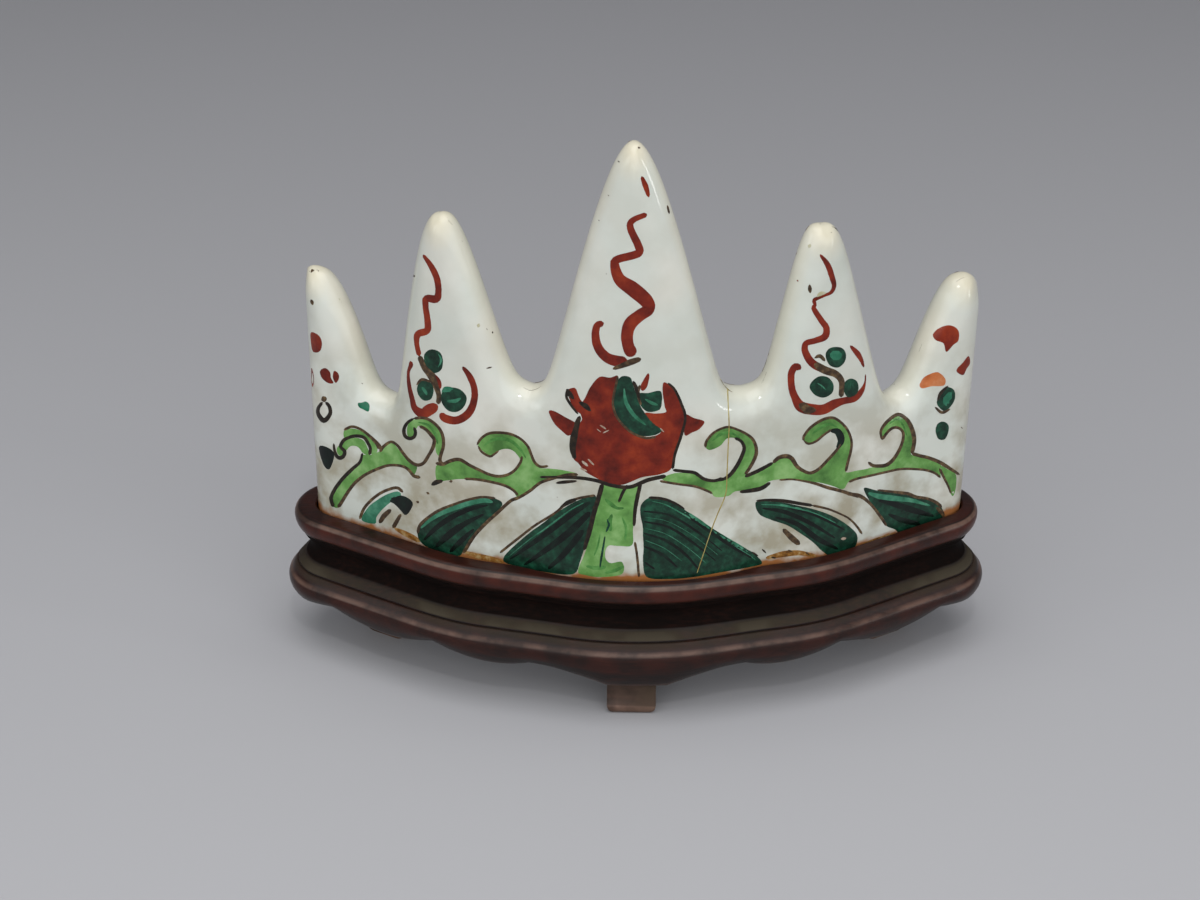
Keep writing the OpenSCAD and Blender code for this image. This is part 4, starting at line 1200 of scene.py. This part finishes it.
        (668, 383), (675, 390), (681, 403), (685.4, 418), (681, 436), (675, 454), (672.5, 469))),
    ("black", (3, 3.6, 3), (
        (672.9, 470), (684.6, 471.4), (694.9, 472.9), (703.7, 478.8), (714, 480.8), (722.8, 478))),
    ("black", (3, 4, 4), (
        (540, 477), (575, 477.6), (596, 480.5), (612, 485.5), (630, 487), (648, 480), (666, 476))),
    ("outline", 2.6, (
        (617.9, 376), (615, 389), (612.8, 402), (616, 415), (624, 426), (634, 434), (646, 438),
        (656, 437))),
    ("green_light", (2, 4, 3), ((628, 403), (633, 413), (642, 422))),
    ("outline", 3, ((640, 385), (638, 394), (641, 405))),
    ("outline", 3, ((961, 427), (962.4, 428.4))),
    # Fans on the right
    ("green_mid", (3, 6, 8, 9, 9, 9, 8, 5), (
        (652, 501), (664, 504), (676, 510), (692, 519.5), (710, 532), (728, 543), (744, 552),
        (756, 560))),
    ("green_mid", 1.6, ((645, 517), (668, 521.5), (694, 536), (718, 555))),
    ("green_mid", 1.6, ((645, 528), (666, 534), (688, 548), (706, 563))),
    ("green_mid", 1.6, ((645, 540), (664, 548), (682, 561))),
    ("green_mid", (2, 4, 4, 4, 2), ((761, 504.5), (778, 505), (797, 508.5), (816, 514), (836, 523))),
    ("green_mid", (4, 9, 8, 6, 3), ((868, 493), (882, 497), (897, 498.5), (912, 500.5), (930, 505.5))),
    ("black", (3, 3, 2), ((648.7, 497.6), (662.6, 498.8), (674.4, 503), (684.6, 509))),
    ("green_black", (3, 5, 5, 2), ((643, 511), (670, 515.4), (699.3, 533), (722, 551))),
    ("green_black", (3, 5, 5, 2), ((643.6, 521.3), (668.5, 527), (692, 541.8), (716, 561))),
    ("green_black", (3, 5, 5, 3), ((643.6, 533), (665.6, 540.4), (684.6, 553.6), (699.3, 569.7))),
    ("green_black", (3, 5, 5, 3), ((643.6, 546), (662.6, 554.6), (677.3, 567.3))),
    ("green_black", (3, 5, 3), ((644.6, 562), (654.8, 569.2))),
    ("green_black", (3, 5, 5, 3), ((690, 518), (712, 533), (733, 547), (752, 558))),
    ("outline", 2.6, ((659.7, 481), (677.3, 483.9), (694.9, 486.4), (706.6, 490.5), (712.5, 493.4))),
    ("black", (2, 4, 4, 3.6, 3), (
        (714, 480.5), (723.2, 479.3), (730.8, 474.2), (737.2, 465.3), (742.3, 455), (744.2, 447.4),
        (741, 441), (734.6, 437.8))),
    ("outline", (3, 2.4, 2.6, 4, 3.4), (
        (705.3, 447.4), (706.6, 441), (713, 433.4), (720.6, 428.9), (728.3, 427), (737.2, 429.5),
        (747.4, 434.6), (753.8, 441), (756.3, 451.2), (753.8, 460), (748.7, 469), (744.8, 474.2))),
    ("black", (3.6, 4, 3), ((744.8, 476.7), (753.8, 472.9), (764, 467.8), (772.9, 462.7))),
    ("outline", (3.6, 5, 3.6, 3, 3), (
        (772.9, 462.7), (779.3, 457.6), (787, 456.3), (792, 458.9), (797, 466.5), (804.8, 471.6),
        (811, 472.9), (818.8, 469), (827.8, 460), (836.7, 450), (840.5, 443.6))),
    ("black", (3, 5, 3), ((739.7, 492), (751.2, 490.4), (761.4, 488.2), (770.4, 482.5))),
    ("outline", (2, 2, 3.4, 3.4, 4), (
        (779.3, 480), (792, 479.3), (804.8, 481.2), (816.3, 483.8), (827.8, 487.6), (840.5, 490.8),
        (850.7, 494), (860, 496.5))),
    ("outline", (2.6, 3, 2.6, 3), (
        (804.2, 441), (803.5, 437.2), (808.6, 429.5), (816.3, 423.2), (825.2, 418.7), (834, 418),
        (841.8, 423.2), (848, 430.8), (851.4, 441), (850.7, 451.2), (848, 461.4), (845.6, 471.6))),
    ("outline", 2.6, ((804.2, 441), (808.6, 443.6), (816.3, 441), (823.9, 434.6), (831.6, 429.5))),
    ("green_black", (3, 8, 8, 3), ((830, 430.5), (838, 431.5), (841.5, 440), (837, 449))),
    ("black", (2, 3.6, 3), ((756.3, 500.8), (769, 500), (784.4, 501), (799.7, 503.5), (812.4, 505.4))),
    ("outline", (2.4, 2, 2.6), (
        (812.4, 505.4), (827.8, 508.9), (840.5, 514), (849.4, 518.8), (857, 526.5), (862, 534))),
    ("green_black", (3, 7, 7, 3), ((762, 508), (785, 512), (810, 523), (835, 538))),
    ("green_black", (3, 8, 9, 4), ((775, 517), (797, 524), (818, 539), (838, 549))),
    ("green_black", (2, 5, 3), ((790, 508.5), (815, 515), (845, 530))),
    ("outline", (4, 6, 5), ((783, 529), (792, 538), (799.7, 544.3))),
    ("worn", 4, ((841, 539), (846, 538))),
    # Burnt and soiled foot line
    ("burnt", (2, 5, 5, 3), ((394, 528), (404, 533), (414, 538), (420, 542))),
    ("burnt", (3, 5, 5, 3), ((464, 552), (478, 556), (492, 559), (504, 562))),
    ("burnt", (3, 6, 5, 3), ((766, 558), (784, 554), (800, 553), (816, 556))),
    ("burnt", (3, 5, 3), ((862, 545), (878, 540), (895, 534))),
    ("black", 2, ((752, 552), (758, 556))),
    ("black", 1.6, ((762, 549), (766, 553))),
    ("black", 2, ((771, 557), (776, 558))),
    ("outline", 1.6, ((788, 550), (793, 552))),
    ("outline", 1.6, ((805, 552), (810, 555))),
    # Last wave
    ("outline", (3, 4, 3, 3, 3), (
        (868.2, 462), (872.8, 465.5), (879.7, 466), (886.6, 465), (893.5, 459.2), (899.2, 450),
        (902.7, 440.8), (903.2, 432.8), (899.2, 428.2), (893.5, 427.6), (887.7, 431.7), (882, 439.7))),
    ("outline", (2.4, 3.4, 3.6, 5, 4), (
        (882, 439.7), (880.8, 431.7), (884.3, 424.8), (890, 419), (898, 414.4), (905, 417.9),
        (909.5, 423.6), (913, 432.8), (914.1, 442), (911.8, 453.5))),
    ("outline", (3.6, 3.6, 4, 2.6), (
        (911.8, 453.5), (919.9, 455.8), (929, 458), (940.5, 462.7), (949.7, 468.4), (959.5, 474.7))),
    ("outline", 2.6, (
        (848.7, 482), (856.7, 478.7), (871.7, 475.3), (886.6, 471.8), (900.4, 469), (914, 469),
        (925.6, 470), (934.8, 473), (940.5, 477.6))),
    ("outline", (3, 2.6, 2), ((939.4, 468.4), (944, 477.6), (948.6, 486.8), (950.9, 493.7))),
    ("outline", (3, 4, 3, 3, 3), (
        (846.4, 493.7), (860, 496), (870.5, 504), (879.7, 515.5), (886.6, 525.8))),
    ("outline", (2, 3.6, 3, 4), (
        (877.4, 490), (893.5, 492), (907.3, 493.7), (916.4, 497), (925.6, 498.3), (934.8, 501.7),
        (941.7, 507.4))),
    ("green_black", (4, 9, 9, 4), ((878, 500), (897, 505), (916, 511), (934, 516))),
    ("green_black", (4, 8, 6), ((888, 514), (902, 520), (920, 524))),
    ("outline", (4, 5, 3), ((936, 507), (941, 512), (944, 517))),
    # Right end: drawing of the green buds
    ("black", (2, 3.6, 2), ((948, 386), (941, 393), (937.5, 401))),
    ("outline", (2, 3, 2), ((935, 407), (942, 412.5), (950, 409))),
    # Hairline crack under the inner right saddle
    ("crack", 1.1, (
        (727, 372), (728, 400), (729, 425), (728, 450), (727, 473), (725.6, 494), (718, 513),
        (711, 531), (704, 552), (697, 573))),
]


PAINT_SMOOTH_DEG = 50


def add_painting(materials):
    """All paint in front and behind, one piece for each paint and face."""
    canvas = Canvas()
    shapes = {name: [] for name in PAINTS}
    for order, (paint, outline) in enumerate(PATCHES):
        shapes[paint].append(patch_shape(outline) + (order,))
    for order, (paint, width, points) in enumerate(STROKES):
        shapes[paint].append(stroke_shape(points, width) + (order,))
    for paint, lift in PAINTS.items():
        laid = [(canvas.place(pixels), shares, faces, order)
                for pixels, shares, faces, order in shapes[paint]]
        for side, face in ((1, "front"), (-1, "back")):
            if side < 0 and paint == "crack":
                continue
            points, all_faces, first = [], [], 0
            for (s, z), shares, faces, order in laid:
                if side < 0:
                    s = behind(s)
                z = np.minimum(z, top_z(s) - EDGE_MARGIN)
                normal = skin_normal(s, z, side)
                rise = np.where(shares < 0, -BED_MM, shares * (lift + order % LAYERS * LAYER_MM))
                solid = skin(s, z, side) + normal * rise[:, None]
                faces = outward(solid, faces, normal, shares)
                points.append(solid)
                all_faces += [tuple(k + first for k in f) for f in faces]
                first += len(solid)
            # Each mark is closed by itself, so ends that meet are not welded together
            add_piece(face + "_" + paint, np.vstack(points), all_faces, materials[paint],
                      "mountain", smooth_deg=PAINT_SMOOTH_DEG, weld=False)


def outward(points, faces, normals, shares):
    """Turns the faces over if those on top look into the porcelain."""
    tops = [f for f in faces if all(shares[k] > 0 for k in f)]
    total = 0.0
    for f in tops:
        a, b, c = points[f[0]], points[f[1]], points[f[2]]
        total += float(np.dot(np.cross(b - a, c - a), normals[f[0]]))
    return faces if total > 0 else [f[::-1] for f in faces]


# Scene

# Enamels and marks: name, low, middle and high colour, streak size in mm and roughness.
# Greens pool dark and thin out to yellow-green; iron red is dry and rust brown where it is thin;
# the drawing lines are matt; worn, cracked and burnt places have lost the glaze's shine.
materials = {
    "green_light": enamel("light_green_enamel", "#426C33", "#62944B", "#8AB371", 5),
    "green_dark": enamel("dark_green_enamel", "#0A2117", "#113325", "#1C4F39", 1.6),
    "green_mid": enamel("green_enamel", "#215A3F", "#34755A", "#4F8D70", 2.2),
    "leaf": enamel("leaf_green_enamel", "#33622A", "#477F3B", "#5F974E", 2),
    "stain": enamel("stained_glaze", "#A9A583", "#B4B093", "#BDBBA3", 2),
    "green_black": enamel("black_green_enamel", "#040907", "#07130E", "#0D241A", 1.8),
    "red": enamel("iron_red_enamel", "#4C1107", "#701E0D", "#8E3214", 4),
    "teal": enamel("teal_enamel", "#1A5A42", "#266A4F", "#3E8065"),
    "orange": enamel("orange_enamel", "#A4552A", "#BA6D3F", "#C5865B"),
    "outline": enamel("brown_outline_enamel", "#2B1F14", "#463524", "#6E5839", 0.9, 0.3),
    "black": enamel("dark_outline_enamel", "#110D09", "#1F1810", "#382B1D", 0.9, 0.3),
    "worn": enamel("worn_glaze", "#8A6A58", "#A99886", "#BDB4A6", 0.8, 0.3),
    "crack": enamel("stained_crack", "#857238", "#A09050", "#AEA470", 1.5, 0.5),
    "burnt": enamel("burnt_foot_line", "#5A3A18", "#8E6128", "#AD9465", 0.9, 0.45),
}
wood = waxed_hardwood("waxed_hardwood", "#0E0806", "#1E100C", "#341A12")

add_mountain(glazed_porcelain())
add_painting(materials)
add_stand(wood)
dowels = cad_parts["tier_dowels"]
dowels.data.materials.clear()
dowels.data.materials.append(bare_wood())


# Studio


def add_sweep():
    """Floor that curves up into a backdrop."""
    near, far, wide, rise, bend, steps = -1.4, 0.75, 2.2, 1.1, 0.35, 16
    profile = [(near, 0.0)]
    profile += [(y, z + bend) for y, z in arc((far, 0.0), bend, -90, 0, steps)]
    profile.append((far + bend, rise))
    points = np.array([[x, y, z] for x in (-wide, wide) for y, z in profile])
    ids = np.arange(len(points)).reshape(2, -1)
    mesh = bpy.data.meshes.new("sweep")
    mesh.from_pydata(points.tolist(), [], grid_faces(ids))
    sweep = bpy.data.objects.new("sweep", mesh)
    bpy.context.scene.collection.objects.link(sweep)
    mesh.materials.append(studio_sweep())
    shade(sweep, 40)


def add_light(name, at, target, size, watts):
    """A soft rectangular light that looks at its target."""
    data = bpy.data.lights.new(name, "AREA")
    data.shape = "RECTANGLE"
    data.size, data.size_y = size
    data.energy = watts
    light = bpy.data.objects.new(name, data)
    light.location = at
    light.rotation_euler = (Vector(target) - Vector(at)).to_track_quat("-Z", "Y").to_euler()
    bpy.context.scene.collection.objects.link(light)


# Name, place, target and size in metres, and watts
LIGHTS = (
    ("overhead", (0.0, -0.1, 0.9), (0, 0, 0.04), (0.9, 0.7), 4.2),
    ("front_sky", (0.1, -1.15, 0.72), (0, 0, 0.05), (2.6, 1.3), 13.4),
    ("left_window", (-0.8, -0.4, 0.45), (0, 0, 0.05), (0.35, 0.5), 1.0),
    ("right_strip", (0.8, -0.3, 0.16), (0, 0, 0.06), (0.06, 0.4), 0.7),
    ("spark", (0.02, -0.52, 0.78), (0, 0, 0.06), (0.06, 0.06), 0.7),
)
add_sweep()
for light in LIGHTS:
    add_light(*light)

world = bpy.data.worlds.new("studio")
world.use_nodes = True
sky = world.node_tree.nodes["Background"]
sky.inputs["Color"].default_value = srgb("#C4C6CC")
sky.inputs["Strength"].default_value = 0.4
bpy.context.scene.world = world

camera_data = bpy.data.cameras.new("camera")
camera_data.lens = LENS_MM
camera_data.sensor_width = SENSOR_MM
camera = bpy.data.objects.new("camera", camera_data)
camera.location = CAMERA_AT * MM
camera.rotation_euler = (CAMERA_TILT, 0, 0)
bpy.context.scene.collection.objects.link(camera)
bpy.context.scene.camera = camera
bpy.context.scene.view_settings.view_transform = "Standard"
